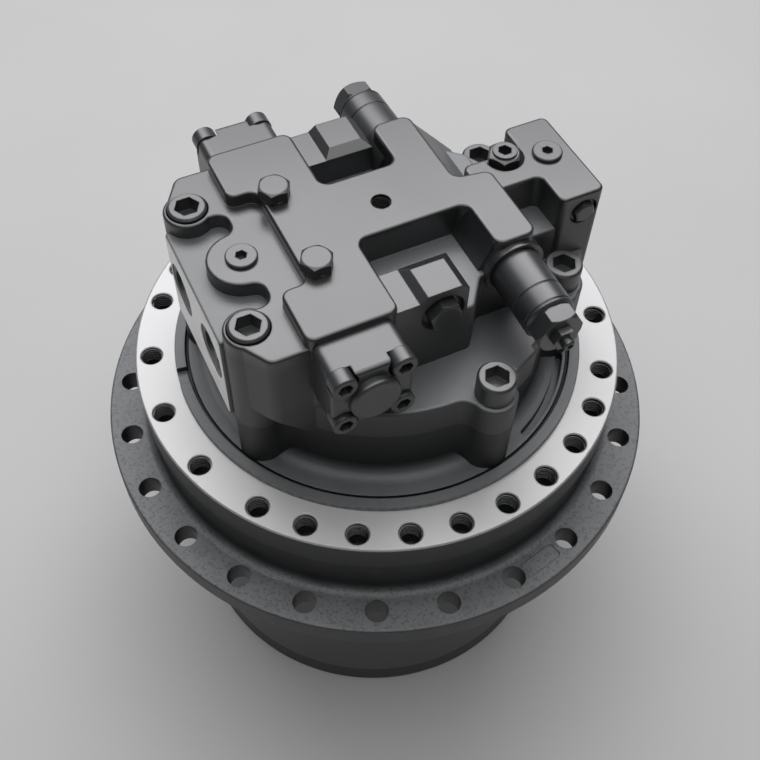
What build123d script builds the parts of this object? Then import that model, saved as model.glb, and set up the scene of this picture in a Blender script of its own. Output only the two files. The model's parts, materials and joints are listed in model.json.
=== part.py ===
from build123d import *
import os
from math import acos, cos, pi, radians, sin, tan

# Excavator final drive: a travel motor and a two-stage planetary gearbox around one axis.
# Millimetres. The origin is the middle of the gear cover's ground face, +Z is the drive axis,
# and the motor end is up. The frame flange and the motor stand still, the hub turns.

os.makedirs("parts", exist_ok=True)

# Fits and clearances
seat_fit = 0.02
running_fit = 0.09
moving_gap = 0.3
tooth_relief = 0.4

# Gears
gear_module = 4.0
ring_teeth = 75
first_sun_teeth = 15
second_sun_teeth = 21
first_planet_count = 3
second_planet_count = 4
pressure_angle = radians(20)
root_depth = 1.25 * gear_module
first_planet_teeth = (ring_teeth - first_sun_teeth) // 2
second_planet_teeth = (ring_teeth - second_sun_teeth) // 2
first_centre = gear_module * (first_sun_teeth + first_planet_teeth) / 2
second_centre = gear_module * (second_sun_teeth + second_planet_teeth) / 2
ring_root_radius = gear_module * ring_teeth / 2 + root_depth

# Heights of the gearbox, stacked from the ground face
cover_height = 28.0
cover_floor = 16.0
first_stage_rise = 12.0
first_face_width = 34.0
first_plate_gap = 4.0
first_plate_height = 12.0
stage_gap = 10.0
second_face_width = 50.0
second_plate_gap = 6.0
second_plate_height = 24.0
bearing_lip = 8.0
bearing_width = 38.0
bearing_spacing = 12.0
seal_depth = 24.0
seal_gap = 4.0
frame_flange_height = 28.0
ring_z = cover_height
first_planet_z = ring_z + first_stage_rise
first_plate_z = first_planet_z + first_face_width + first_plate_gap
second_planet_z = first_plate_z + first_plate_height + stage_gap
second_plate_z = second_planet_z + second_face_width + second_plate_gap
hub_z = second_plate_z + second_plate_height / 2
spindle_end_z = second_plate_z + second_plate_height
lower_bearing_z = spindle_end_z + bearing_lip
upper_bearing_z = lower_bearing_z + bearing_width + bearing_spacing
spindle_shoulder_z = upper_bearing_z + bearing_width
hub_top_z = spindle_shoulder_z + seal_depth
flange_z = hub_top_z + seal_gap
face_z = flange_z + frame_flange_height
ring_height = hub_z - ring_z

# Drum, sprocket flange and frame flange
drum_wall = 26.5
drum_radius = ring_root_radius + drum_wall
sprocket_radius = 239.0
sprocket_height = 22.0
sprocket_drop = 71.0
sprocket_hole_radius = 9.4
sprocket_hole_circle = 221.25
sprocket_hole_count = 24
sprocket_hole_phase = 4.69
collar_radius = 202.0
collar_fillet = 9.0
sprocket_top_z = face_z - sprocket_drop
sprocket_z = sprocket_top_z - sprocket_height
frame_flange_radius = 205.0
frame_hole_radius = 8.75
frame_hole_circle = 191.2
frame_hole_angles = [0, 18, 36, 48, 60, 72, 84, 96, 108, 120, 132, 144, 162]
frame_hole_chamfer = 1.0
cover_bolt_count = 20
cover_bolt_radius = 7.0
cover_bolt_thread = 24.0
cover_bolt_circle = (ring_root_radius + drum_radius) / 2
bolt_hole_gap = 0.5
bolt_tip_gap = 4.0
screw_head_ratio = 1.5
screw_key_ratio = 1.6
plug_thread_ratio = 0.75

# Main bearings and spindle
spindle_radius = 115.0
bearing_outer_radius = 150.0
ball_radius = 10.0
balls_per_row = 24
cage_thickness = 3.0
shoulder_radius = 146.0
bearing_land = 12.0
shoulder_relief = 2.0
ball_circle = (spindle_radius + bearing_outer_radius) / 2

# Floating face seal
seal_pocket_radius = 176.0
seal_pocket_depth = 18.0
case_pocket_depth = 16.0
seal_ring_height = 12.0
seal_ring_inner = 156.0
seal_ring_outer = 166.0

# Case above the frame face
pilot_radius = 171.5
pilot_height = 5.0
pilot_groove_radius = 163.0
pilot_groove_width = 3.0
pilot_groove_depth = 8.0
rim_height = 3.0
rim_inner_radius = 150.0
case_radius = 137.5
case_wall_step = 0.5
case_foot = rim_inner_radius - case_radius + case_wall_step
brake_bore_radius = 105.0
cavity_radius = 92.0
split_height = 51.0
split_z = face_z + split_height

# Levels of the valve block above the frame face
ledge_height = 80.0
pocket_height = 129.0
port_deck_height = 134.0
shoulder_height = 146.5
wing_height = 143.5
top_height = 157.0
ledge_z = face_z + ledge_height
pocket_z = face_z + pocket_height
port_deck_z = face_z + port_deck_height
shoulder_z = face_z + shoulder_height
wing_z = face_z + wing_height
top_z = face_z + top_height
edge_round = 2.5

# Block bolts around the drive axis
block_bolt_circle = 143.5
block_bolt_angles = [-79.7, -28.2, 28.2, 79.7]
shoulder_bolt_angles = [-154.4, 154.4]
block_bolt_radius = 10.0
block_bolt_head_radius = 14.8
block_bolt_head = 20.0
block_bolt_key = 17.0
block_bolt_depth = 34.0
bolt_boss_radius = 18.0
boss_blend = 14.0
shoulder_boss_radius = 18.5
shoulder_bolt_proud = 3.0

# Motor
shaft_radius = 20.0
shaft_core_radius = 24.0
shaft_tail_radius = 17.0
shaft_bearing_width = 20.0
shaft_bearing_radius = 34.0
tail_bearing_radius = 30.0
shaft_seal_height = 7.0
swash_height = 24.0
swash_bore = 30.0
swash_edge = 2.0
swash_radius = 84.0
valve_plate_height = 6.0
valve_plate_radius = 70.0
cylinder_block_radius = 74.0
cylinder_block_height = 80.0
piston_count = 9
piston_circle = 52.0
piston_radius = 11.0
shoe_radius = 13.5
shoe_height = 6.0
piston_ball_radius = 7.5
spindle_wall = 36.0
cavity_z = spindle_end_z + spindle_wall
valve_plate_z = split_z - valve_plate_height
swash_top_z = cavity_z + swash_height
cylinder_block_z = valve_plate_z - cylinder_block_height

# Parking brake
brake_plate_height = 3.2
brake_disc_count = 3
brake_piston_height = 20.0
brake_travel = 2.5
brake_spring_room = 14.0
brake_stack = (2 * brake_disc_count + 1) * (brake_plate_height + moving_gap)
brake_step_z = split_z - brake_stack - brake_piston_height - brake_spring_room - brake_travel

# Valve spool and its caps
spool_x = -68.5
spool_height = 123.0
spool_radius = 12.5
spool_travel = 7.0
spool_end_gap = 2.0
arm_reach = 99.0
cap_width = 61.0
cap_depth = 33.5
cap_height = 57.0
cap_boss_radius = 19.0
cap_boss_height = 6.5
cap_screw_x = 22.0
cap_screw_z = 21.0
cap_screw_radius = 6.0
cap_cavity_depth = 26.0
spring_wire = 1.6
spring_turns = 4
spool_z = face_z + spool_height
spool_length = 2 * (arm_reach - spool_travel - spool_end_gap)

# Plugs, relief valves and ports
check_x = 2.5
check_z = top_z - 23.0
check_boss_half = 13.0
check_slope_run = 6.5
check_slope_drop = 5.0
check_front = 97.0
check_pad_y = 69.0
check_inner_y = 61.0
relief_front_x = 73.0
relief_back_x = 46.0
relief_height = 128.0
relief_tilt = 2.5
relief_radius = 20.0
relief_front_face = 74.0
relief_back_face = 79.0
relief_seat_depth = 30.0
relief_boss_wall = 4.0
relief_boss_reach = 3.0
relief_thread_radius = 12.0
relief_z = face_z + relief_height
port_face_x = -151.0
port_spacing = 64.0
port_radius = 15.3
port_depth = 45.0
port_z = face_z + 97.0
deck_half_width = 58.0
shoulder_plug_x = -110.5
shoulder_plug_radius = 26.0
wing_left_x = 130.4
wing_right_x = 169.3
wing_half_width = 45.6
arm_right_x = 90.0
lifting_hole_radius = 7.6
lifting_hole_depth = 25.0

# Plan of the valve block, seen along the drive axis
arm_left_x = -101.5
waist_x = -79.5
waist_half_width = 49.0
pocket_left_x = -32.5
front_pocket_y = -27.7
front_pocket_right_x = 56.5
back_pocket_y = 33.8
back_pocket_right_x = 28.7
back_arm_right_x = 61.5
body_reach = 97.0
body_corner_x = 28.5
pocket_foot_x = 46.0
body_right_x = 99.0
shoulder_left_x = -142.4
shoulder_corner_x = -127.5
shoulder_reach = 97.2
shoulder_front_y = 73.3
finger_x = -106.0
finger_y = 47.4
bridge_front_y = -13.7
bridge_back_y = 21.0
bridge_overlap = 10.0
arm_step_y = -3.0
back_arm_step_y = 1.0
recess_height = 113.0


def polar(radius, angle):
    "A point at a radius and an angle in degrees around the drive axis."
    return (radius * cos(radians(angle)), radius * sin(radians(angle)))


def involute(angle):
    return tan(angle) - angle


def gear_points(teeth, module, inner, outer, thinning, phase):
    "One closed outline of involute teeth between two radii, a tooth's middle at the phase angle."
    pitch_radius = module * teeth / 2
    base_radius = pitch_radius * cos(pressure_angle)
    start = max(inner, base_radius + 0.01)
    half_pitch = pi / (2 * teeth) - thinning / (2 * pitch_radius) + involute(pressure_angle)
    flank = [start + (outer - start) * step / 3 for step in range(4)]
    halves = [half_pitch - involute(acos(base_radius / radius)) for radius in flank]
    rising = [(inner, halves[0])] if inner < start else []
    rising += list(zip(flank, halves))
    points = []
    for tooth in range(teeth):
        middle = phase + 2 * pi * tooth / teeth
        for radius, half in rising:
            points.append((radius * cos(middle - half), radius * sin(middle - half)))
        for radius, half in reversed(rising):
            points.append((radius * cos(middle + half), radius * sin(middle + half)))
    return points


def external_gear(teeth, phase):
    pitch_radius = gear_module * teeth / 2
    inner = pitch_radius - root_depth
    return gear_points(teeth, gear_module, inner, pitch_radius + gear_module, tooth_relief, phase)


def spline_points(teeth, module, gap):
    "A splined bore or shaft: the same outline for both, the bore wider by the gap."
    pitch_radius = module * teeth / 2
    inner = pitch_radius - module + gap
    return gear_points(teeth, module, inner, pitch_radius + 0.8 * module + gap, -2 * gap, 0)


def planet_phase(position, teeth):
    "The turn that puts a planet's teeth into the ring's gaps at a position around the axis."
    return position + pi / teeth - ring_teeth * position / teeth


def sun_phase(teeth, planet_teeth):
    return 2 * pi / teeth * (planet_teeth / 2 - 1)


def socket_screw(radius, head_radius, head_height, key, length):
    "A cap screw with its seat at the origin and its shank along -Z."
    with BuildPart() as screw:
        Cylinder(head_radius, head_height, align=(Align.CENTER, Align.CENTER, Align.MIN))
        chamfer(screw.edges().group_by(Axis.Z)[-1], head_height / 12)
        Cylinder(radius, length, align=(Align.CENTER, Align.CENTER, Align.MAX))
        with BuildSketch(Plane.XY.offset(head_height)):
            RegularPolygon(key / 2, 6, major_radius=False)
        extrude(amount=-head_height * 0.6, mode=Mode.SUBTRACT)
    return screw.part


def hex_plug(key, head_height, collar_radius, collar_height, radius, length):
    "A hexagon plug with its seat at the origin, its head along +Z and its thread along -Z."
    with BuildPart() as plug:
        Cylinder(collar_radius, collar_height, align=(Align.CENTER, Align.CENTER, Align.MIN))
        with BuildSketch(Plane.XY.offset(collar_height)):
            RegularPolygon(key / 2, 6, major_radius=False)
        extrude(amount=head_height)
        crown = key / 2 / cos(pi / 6)
        with BuildSketch(Plane.XZ):
            with BuildLine():
                Polyline(
                    (key / 2 - 1, collar_height + head_height),
                    (crown + 1, collar_height + head_height),
                    (crown + 1, collar_height + head_height - (crown + 2 - key / 2) * tan(pi / 6)),
                    close=True,
                )
            make_face()
        revolve(axis=Axis.Z, mode=Mode.SUBTRACT)
        Cylinder(radius, length, align=(Align.CENTER, Align.CENTER, Align.MAX))
    return plug.part


def flush_plug(radius, rim_height, key, length):
    "A low round plug with a hexagon socket, seat at the origin."
    with BuildPart() as plug:
        Cylinder(radius, rim_height, align=(Align.CENTER, Align.CENTER, Align.MIN))
        chamfer(plug.edges().group_by(Axis.Z)[-1], rim_height / 3)
        Cylinder(radius * plug_thread_ratio, length, align=(Align.CENTER, Align.CENTER, Align.MAX))
        with BuildSketch(Plane.XY.offset(rim_height)):
            RegularPolygon(key / 2, 6, major_radius=False)
        extrude(amount=-key * 0.8, mode=Mode.SUBTRACT)
    return plug.part


def rounded_prism(points, corner, low, high, edge):
    "An upright prism over an outline, with rounded corners and a rounded upper edge."
    with BuildPart() as prism:
        with BuildSketch(Plane.XY.offset(low)) as outline:
            with BuildLine():
                Polyline(*points, close=True)
            make_face()
            fillet(outline.vertices(), corner)
        extrude(amount=high - low)
        fillet(prism.edges().group_by(Axis.Z)[-1], edge)
    return prism.part


# Gear cover: the ground face of the drum, with counterbored bolts and oil plugs
oil_plug_radius = 16.0
oil_plug_circle = 92.0
oil_plug_count = 3
oil_plug_rim = 6.0
oil_plug_inset = 0.5
cover_bolt_head = 2 * cover_bolt_radius
cover_bolt_head_radius = screw_head_ratio * cover_bolt_radius
cover_bolt_inset = 1.0
cover_recess_radius = 125.0
cover_edge = 5.0
with BuildPart() as gear_cover:
    Cylinder(drum_radius, cover_height, align=(Align.CENTER, Align.CENTER, Align.MIN))
    fillet(gear_cover.edges().group_by(Axis.Z)[0], cover_edge)
    with Locations((0, 0, cover_floor)):
        Cylinder(
            cover_recess_radius,
            cover_height,
            align=(Align.CENTER, Align.CENTER, Align.MIN),
            mode=Mode.SUBTRACT,
        )
    with Locations(Plane.XY.rotated((180, 0, 0))):
        with PolarLocations(cover_bolt_circle, cover_bolt_count):
            CounterBoreHole(
                cover_bolt_radius + bolt_hole_gap,
                cover_bolt_head_radius + bolt_hole_gap,
                cover_bolt_head + cover_bolt_inset,
                cover_height,
            )
        with PolarLocations(oil_plug_circle, oil_plug_count):
            CounterBoreHole(
                plug_thread_ratio * oil_plug_radius + seat_fit,
                oil_plug_radius + bolt_hole_gap,
                oil_plug_rim + oil_plug_inset,
                cover_height,
            )
gear_cover.part.label = "gear_cover"
export_step(gear_cover.part, "parts/gear_cover.step")

# Ring gear: the drum wall between cover and hub, toothed inside
with BuildPart() as ring_gear:
    with BuildSketch(Plane.XY.offset(ring_z)):
        Circle(drum_radius)
        with BuildLine():
            Polyline(
                *gear_points(
                    ring_teeth,
                    gear_module,
                    gear_module * (ring_teeth / 2 - 1),
                    ring_root_radius,
                    -tooth_relief,
                    pi / ring_teeth,
                ),
                close=True,
            )
        make_face(mode=Mode.SUBTRACT)
        with PolarLocations(cover_bolt_circle, cover_bolt_count):
            Circle(cover_bolt_radius + bolt_hole_gap, mode=Mode.SUBTRACT)
    extrude(amount=ring_height)
ring_gear.part.label = "ring_gear"
export_step(ring_gear.part, "parts/ring_gear.step")

# Hub: the turning casting with the sprocket flange, the bearing seats and the seal pocket
hub_lip_gap = 6.0
sprocket_edge = 2.0
hub_lip_radius = shoulder_radius - hub_lip_gap
pad_length = 34.0
pad_width = 13.0
pad_angle = -78.3
pad_corner = 3.0
pad_depth = 0.8
with BuildPart() as hub:
    with BuildSketch(Plane.XZ):
        with BuildLine():
            Polyline(
                (hub_lip_radius, hub_z),
                (drum_radius, hub_z),
                (drum_radius, sprocket_z),
                (sprocket_radius, sprocket_z),
                (sprocket_radius, sprocket_top_z),
                (collar_radius, sprocket_top_z),
                (collar_radius, hub_top_z),
                (seal_pocket_radius, hub_top_z),
                (seal_pocket_radius, hub_top_z - seal_pocket_depth),
                (bearing_outer_radius, hub_top_z - seal_pocket_depth),
                (bearing_outer_radius, upper_bearing_z),
                (bearing_outer_radius - bearing_land / 2, upper_bearing_z),
                (bearing_outer_radius - bearing_land / 2, lower_bearing_z + bearing_width),
                (bearing_outer_radius, lower_bearing_z + bearing_width),
                (bearing_outer_radius, lower_bearing_z),
                (hub_lip_radius, lower_bearing_z),
                close=True,
            )
        make_face()
    revolve(axis=Axis.Z)
    rim_edges = hub.edges().filter_by(GeomType.CIRCLE)
    fillet(rim_edges.filter_by(lambda e: abs(e.radius - sprocket_radius) < 0.1), sprocket_edge)
    fillet(
        rim_edges.filter_by(
            lambda e: abs(e.radius - collar_radius) < 0.1 and e.center().Z < hub_top_z - 1
        ),
        collar_fillet,
    )
    fillet(
        rim_edges.filter_by(lambda e: abs(e.radius - drum_radius) < 0.1 and e.center().Z > hub_z + 1),
        collar_fillet,
    )
    with Locations((0, 0, sprocket_top_z)):
        with PolarLocations(sprocket_hole_circle, sprocket_hole_count, sprocket_hole_phase):
            Hole(sprocket_hole_radius, sprocket_height + 1)
    with Locations(Plane.XY.offset(hub_z).rotated((180, 0, 0))):
        with PolarLocations(cover_bolt_circle, cover_bolt_count):
            Hole(cover_bolt_radius + seat_fit, cover_bolt_thread + bolt_tip_gap)
    with BuildSketch(Plane.XY.offset(sprocket_top_z)):
        with PolarLocations(sprocket_hole_circle, 1, pad_angle):
            RectangleRounded(pad_width, pad_length, pad_corner)
    extrude(amount=-pad_depth, mode=Mode.SUBTRACT)
hub.part.label = "hub"
export_step(hub.part, "parts/hub.step")

# Cover bolts: long screws through cover and ring gear into the hub
cover_bolt_z = cover_bolt_inset + cover_bolt_head
cover_bolt = socket_screw(
    cover_bolt_radius,
    cover_bolt_head_radius,
    cover_bolt_head,
    screw_key_ratio * cover_bolt_radius,
    hub_z + cover_bolt_thread - cover_bolt_z,
)
with BuildPart() as cover_bolts:
    with Locations(Plane.XY.offset(cover_bolt_z).rotated((180, 0, 0))):
        with PolarLocations(cover_bolt_circle, cover_bolt_count):
            add(cover_bolt)
cover_bolts.part.label = "cover_bolts"
export_step(cover_bolts.part, "parts/cover_bolts.step")

# Oil plugs: fill, level and drain, sunk into the cover
oil_plug_key = 12.0
oil_plug_thread = 8.0
oil_plug = flush_plug(oil_plug_radius, oil_plug_rim, oil_plug_key, oil_plug_thread)
with BuildPart() as oil_plugs:
    with Locations(Plane.XY.offset(oil_plug_rim + oil_plug_inset).rotated((180, 0, 0))):
        with PolarLocations(oil_plug_circle, oil_plug_count):
            add(oil_plug)
oil_plugs.part.label = "oil_plugs"
export_step(oil_plugs.part, "parts/oil_plugs.step")

# Main bearings: two ball rows, inner rings on the spindle and outer rings in the hub
bearing_rows = [lower_bearing_z, upper_bearing_z]
groove_radius = ball_radius + moving_gap
with BuildPart() as bearing_outer_rings:
    for row_z in bearing_rows:
        with BuildSketch(Plane.XY.offset(row_z)):
            Circle(bearing_outer_radius - seat_fit)
            Circle(bearing_outer_radius - bearing_land, mode=Mode.SUBTRACT)
        extrude(amount=bearing_width)
        with Locations((0, 0, row_z + bearing_width / 2)):
            Torus(ball_circle, groove_radius, mode=Mode.SUBTRACT)
bearing_outer_rings.part.label = "bearing_outer_rings"
export_step(bearing_outer_rings.part, "parts/bearing_outer_rings.step")

with BuildPart() as bearing_inner_rings:
    for row_z in bearing_rows:
        with BuildSketch(Plane.XY.offset(row_z)):
            Circle(spindle_radius + bearing_land)
            Circle(spindle_radius + seat_fit, mode=Mode.SUBTRACT)
        extrude(amount=bearing_width)
        with Locations((0, 0, row_z + bearing_width / 2)):
            Torus(ball_circle, groove_radius, mode=Mode.SUBTRACT)
bearing_inner_rings.part.label = "bearing_inner_rings"
export_step(bearing_inner_rings.part, "parts/bearing_inner_rings.step")

with BuildPart() as bearing_balls:
    for row_z in bearing_rows:
        with Locations((0, 0, row_z + bearing_width / 2)):
            with PolarLocations(ball_circle, balls_per_row):
                Sphere(ball_radius)
bearing_balls.part.label = "bearing_balls"
export_step(bearing_balls.part, "parts/bearing_balls.step")

with BuildPart() as bearing_cages:
    for row_z in bearing_rows:
        with BuildSketch(Plane.XY.offset(row_z + bearing_width / 2)):
            Circle(ball_circle + cage_thickness / 2)
            Circle(ball_circle - cage_thickness / 2, mode=Mode.SUBTRACT)
        extrude(amount=ball_radius + cage_thickness, both=True)
        with Locations((0, 0, row_z + bearing_width / 2)):
            with PolarLocations(ball_circle, balls_per_row):
                Cylinder(
                    ball_radius + running_fit,
                    4 * cage_thickness,
                    rotation=(0, 90, 0),
                    mode=Mode.SUBTRACT,
                )
bearing_cages.part.label = "bearing_cages"
export_step(bearing_cages.part, "parts/bearing_cages.step")

# Floating seal: two steel rings face to face, each on a rubber ring
seal_face_z = (hub_top_z + flange_z) / 2
seal_middle = (seal_ring_outer + seal_pocket_radius) / 2
seal_rubber = (seal_pocket_radius - seal_ring_outer) / 2 - running_fit
hub_seal_z = seal_face_z - moving_gap / 2 - seal_ring_height
case_seal_z = seal_face_z + moving_gap / 2
with BuildPart() as hub_seal_ring:
    with BuildSketch(Plane.XY.offset(hub_seal_z)):
        Circle(seal_ring_outer)
        Circle(seal_ring_inner, mode=Mode.SUBTRACT)
    extrude(amount=seal_ring_height)
hub_seal_ring.part.label = "hub_seal_ring"
export_step(hub_seal_ring.part, "parts/hub_seal_ring.step")

with BuildPart() as case_seal_ring:
    with BuildSketch(Plane.XY.offset(case_seal_z)):
        Circle(seal_ring_outer)
        Circle(seal_ring_inner, mode=Mode.SUBTRACT)
    extrude(amount=seal_ring_height)
case_seal_ring.part.label = "case_seal_ring"
export_step(case_seal_ring.part, "parts/case_seal_ring.step")

with BuildPart() as hub_seal_rubber:
    with Locations((0, 0, hub_seal_z + seal_ring_height / 2)):
        Torus(seal_middle, seal_rubber)
hub_seal_rubber.part.label = "hub_seal_rubber"
export_step(hub_seal_rubber.part, "parts/hub_seal_rubber.step")

with BuildPart() as case_seal_rubber:
    with Locations((0, 0, case_seal_z + seal_ring_height / 2)):
        Torus(seal_middle, seal_rubber)
case_seal_rubber.part.label = "case_seal_rubber"
export_step(case_seal_rubber.part, "parts/case_seal_rubber.step")

# First stage: a plate that carries three planets and drives the second sun gear
first_pin_radius = 15.0
first_sleeve_radius = 20.0
pin_reach = 4.0
carrier_rim = 26.0
link_teeth = 32
link_module = 2.0
with BuildPart() as first_carrier:
    with BuildSketch(Plane.XY.offset(first_plate_z)):
        Circle(first_centre + carrier_rim)
        with BuildLine():
            Polyline(*spline_points(link_teeth, link_module, running_fit), close=True)
        make_face(mode=Mode.SUBTRACT)
        with PolarLocations(first_centre, first_planet_count):
            Circle(first_pin_radius + seat_fit, mode=Mode.SUBTRACT)
    extrude(amount=first_plate_height)
first_carrier.part.label = "first_carrier"
export_step(first_carrier.part, "parts/first_carrier.step")

with BuildPart() as first_pins:
    with BuildSketch(Plane.XY.offset(first_planet_z - pin_reach)):
        with PolarLocations(first_centre, first_planet_count):
            Circle(first_pin_radius)
    extrude(amount=first_plate_z + first_plate_height - first_planet_z + pin_reach)
first_pins.part.label = "first_pins"
export_step(first_pins.part, "parts/first_pins.step")

with BuildPart() as first_sleeves:
    with BuildSketch(Plane.XY.offset(first_planet_z)):
        with PolarLocations(first_centre, first_planet_count):
            Circle(first_sleeve_radius)
            Circle(first_pin_radius + seat_fit, mode=Mode.SUBTRACT)
    extrude(amount=first_plate_z - first_planet_z)
first_sleeves.part.label = "first_sleeves"
export_step(first_sleeves.part, "parts/first_sleeves.step")

for index in range(first_planet_count):
    position = 2 * pi * index / first_planet_count
    centre = (first_centre * cos(position), first_centre * sin(position))
    turn = planet_phase(position, first_planet_teeth)
    with BuildPart() as first_planet:
        with BuildSketch(Plane((*centre, first_planet_z))):
            with BuildLine():
                Polyline(*external_gear(first_planet_teeth, turn), close=True)
            make_face()
            Circle(first_sleeve_radius + running_fit, mode=Mode.SUBTRACT)
        extrude(amount=first_face_width)
    first_planet.part.label = f"first_planet_{index + 1}"
    export_step(first_planet.part, f"parts/first_planet_{index + 1}.step")

# Second stage: four planets on pins of a plate that is bolted to the spindle
second_pin_radius = 18.0
second_sleeve_radius = 24.0
second_rim = 32.0
carrier_bolt_count = 8
carrier_bolt_circle = 85.0
carrier_bolt_radius = 7.0
carrier_bolt_thread = 28.0
carrier_bolt_head = 2 * carrier_bolt_radius
carrier_bore = 60.0
with BuildPart() as second_carrier:
    with BuildSketch(Plane.XY.offset(second_plate_z)):
        Circle(second_centre + second_rim)
        Circle(carrier_bore, mode=Mode.SUBTRACT)
        with PolarLocations(second_centre, second_planet_count):
            Circle(second_pin_radius + seat_fit, mode=Mode.SUBTRACT)
    extrude(amount=second_plate_height)
    with BuildSketch(Plane.XY.offset(spindle_end_z)):
        Circle(spindle_radius + bearing_lip)
        Circle(spindle_radius + seat_fit, mode=Mode.SUBTRACT)
    extrude(amount=bearing_lip)
    with Locations(Plane.XY.offset(second_plate_z).rotated((180, 0, 0))):
        with PolarLocations(carrier_bolt_circle, carrier_bolt_count, 180 / carrier_bolt_count):
            CounterBoreHole(
                carrier_bolt_radius + bolt_hole_gap,
                screw_head_ratio * carrier_bolt_radius + bolt_hole_gap,
                carrier_bolt_head,
                second_plate_height,
            )
second_carrier.part.label = "second_carrier"
export_step(second_carrier.part, "parts/second_carrier.step")

with BuildPart() as second_pins:
    with BuildSketch(Plane.XY.offset(second_planet_z - pin_reach)):
        with PolarLocations(second_centre, second_planet_count):
            Circle(second_pin_radius)
    extrude(amount=spindle_end_z - second_planet_z + pin_reach)
second_pins.part.label = "second_pins"
export_step(second_pins.part, "parts/second_pins.step")

with BuildPart() as second_sleeves:
    with BuildSketch(Plane.XY.offset(second_planet_z)):
        with PolarLocations(second_centre, second_planet_count):
            Circle(second_sleeve_radius)
            Circle(second_pin_radius + seat_fit, mode=Mode.SUBTRACT)
    extrude(amount=second_plate_z - second_planet_z)
second_sleeves.part.label = "second_sleeves"
export_step(second_sleeves.part, "parts/second_sleeves.step")

for index in range(second_planet_count):
    position = 2 * pi * index / second_planet_count
    centre = (second_centre * cos(position), second_centre * sin(position))
    turn = planet_phase(position, second_planet_teeth)
    with BuildPart() as second_planet:
        with BuildSketch(Plane((*centre, second_planet_z))):
            with BuildLine():
                Polyline(*external_gear(second_planet_teeth, turn), close=True)
            make_face()
            Circle(second_sleeve_radius + running_fit, mode=Mode.SUBTRACT)
        extrude(amount=second_face_width)
    second_planet.part.label = f"second_planet_{index + 1}"
    export_step(second_planet.part, f"parts/second_planet_{index + 1}.step")

carrier_bolt = socket_screw(
    carrier_bolt_radius,
    screw_head_ratio * carrier_bolt_radius,
    carrier_bolt_head - bolt_hole_gap,
    screw_key_ratio * carrier_bolt_radius,
    second_plate_height - carrier_bolt_head + carrier_bolt_thread,
)
with BuildPart() as carrier_bolts:
    with Locations(Plane.XY.offset(second_plate_z + carrier_bolt_head).rotated((180, 0, 0))):
        with PolarLocations(carrier_bolt_circle, carrier_bolt_count, 180 / carrier_bolt_count):
            add(carrier_bolt)
carrier_bolts.part.label = "carrier_bolts"
export_step(carrier_bolts.part, "parts/carrier_bolts.step")

# Sun gears: the first on the motor shaft, the second hollow around it
sun_overlap = 2.0
sun_bore = 26.0
sun_shaft_radius = 22.0
coupling_teeth = 18
coupling_module = 1.5
coupling_length = 44.0
coupling_gap = 2.0
shaft_nose_drop = 8.0
shaft_nose_z = spindle_end_z - shaft_nose_drop
with BuildPart() as first_sun:
    with BuildSketch(Plane.XY.offset(first_planet_z - sun_overlap)):
        with BuildLine():
            turn = sun_phase(first_sun_teeth, first_planet_teeth)
            Polyline(*external_gear(first_sun_teeth, turn), close=True)
        make_face()
    extrude(amount=first_face_width + 2 * sun_overlap)
    with BuildSketch(Plane.XY.offset(first_planet_z)):
        Circle(sun_shaft_radius)
    extrude(amount=shaft_nose_z - first_planet_z)
    with BuildSketch(Plane.XY.offset(shaft_nose_z)):
        with BuildLine():
            Polyline(*spline_points(coupling_teeth, coupling_module, running_fit), close=True)
        make_face()
    extrude(amount=-coupling_length - coupling_gap, mode=Mode.SUBTRACT)
first_sun.part.label = "first_sun"
export_step(first_sun.part, "parts/first_sun.step")

with BuildPart() as second_sun:
    with BuildSketch(Plane.XY.offset(second_planet_z - sun_overlap)):
        with BuildLine():
            turn = sun_phase(second_sun_teeth, second_planet_teeth)
            Polyline(*external_gear(second_sun_teeth, turn), close=True)
        make_face()
    extrude(amount=second_face_width + 2 * sun_overlap)
    with BuildSketch(Plane.XY.offset(first_plate_z)):
        with BuildLine():
            Polyline(*spline_points(link_teeth, link_module, 0), close=True)
        make_face()
    extrude(amount=second_planet_z - first_plate_z)
    with BuildSketch(Plane.XY.offset(first_plate_z)):
        Circle(sun_bore)
    extrude(amount=spindle_end_z - first_plate_z, mode=Mode.SUBTRACT)
second_sun.part.label = "second_sun"
export_step(second_sun.part, "parts/second_sun.step")

# Motor shaft: splined to the first sun gear below and to the cylinder block above
shaft_step = 1.0
bearing_gap = 2.0
seal_z = spindle_end_z + shaft_step
front_bearing_z = seal_z + shaft_seal_height + bearing_gap
tail_bearing_z = split_z + bearing_gap
block_teeth = 22
block_module = 2.0
with BuildPart() as motor_shaft:
    with BuildSketch(Plane.XY.offset(shaft_nose_z - coupling_length)):
        with BuildLine():
            Polyline(*spline_points(coupling_teeth, coupling_module, 0), close=True)
        make_face()
    extrude(amount=coupling_length)
    with BuildSketch(Plane.XY.offset(shaft_nose_z)):
        Circle(shaft_radius)
    extrude(amount=cavity_z - shaft_nose_z)
    with BuildSketch(Plane.XY.offset(cavity_z + shaft_step)):
        Circle(shaft_core_radius)
    extrude(amount=cylinder_block_z - cavity_z - shaft_step - bearing_gap)
    with BuildSketch(Plane.XY.offset(cavity_z)):
        Circle(shaft_tail_radius)
    extrude(amount=tail_bearing_z + shaft_bearing_width - cavity_z)
    with BuildSketch(Plane.XY.offset(cylinder_block_z)):
        with BuildLine():
            Polyline(*spline_points(block_teeth, block_module, 0), close=True)
        make_face()
    extrude(amount=cylinder_block_height - 2 * bearing_gap)
motor_shaft.part.label = "motor_shaft"
export_step(motor_shaft.part, "parts/motor_shaft.step")

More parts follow.
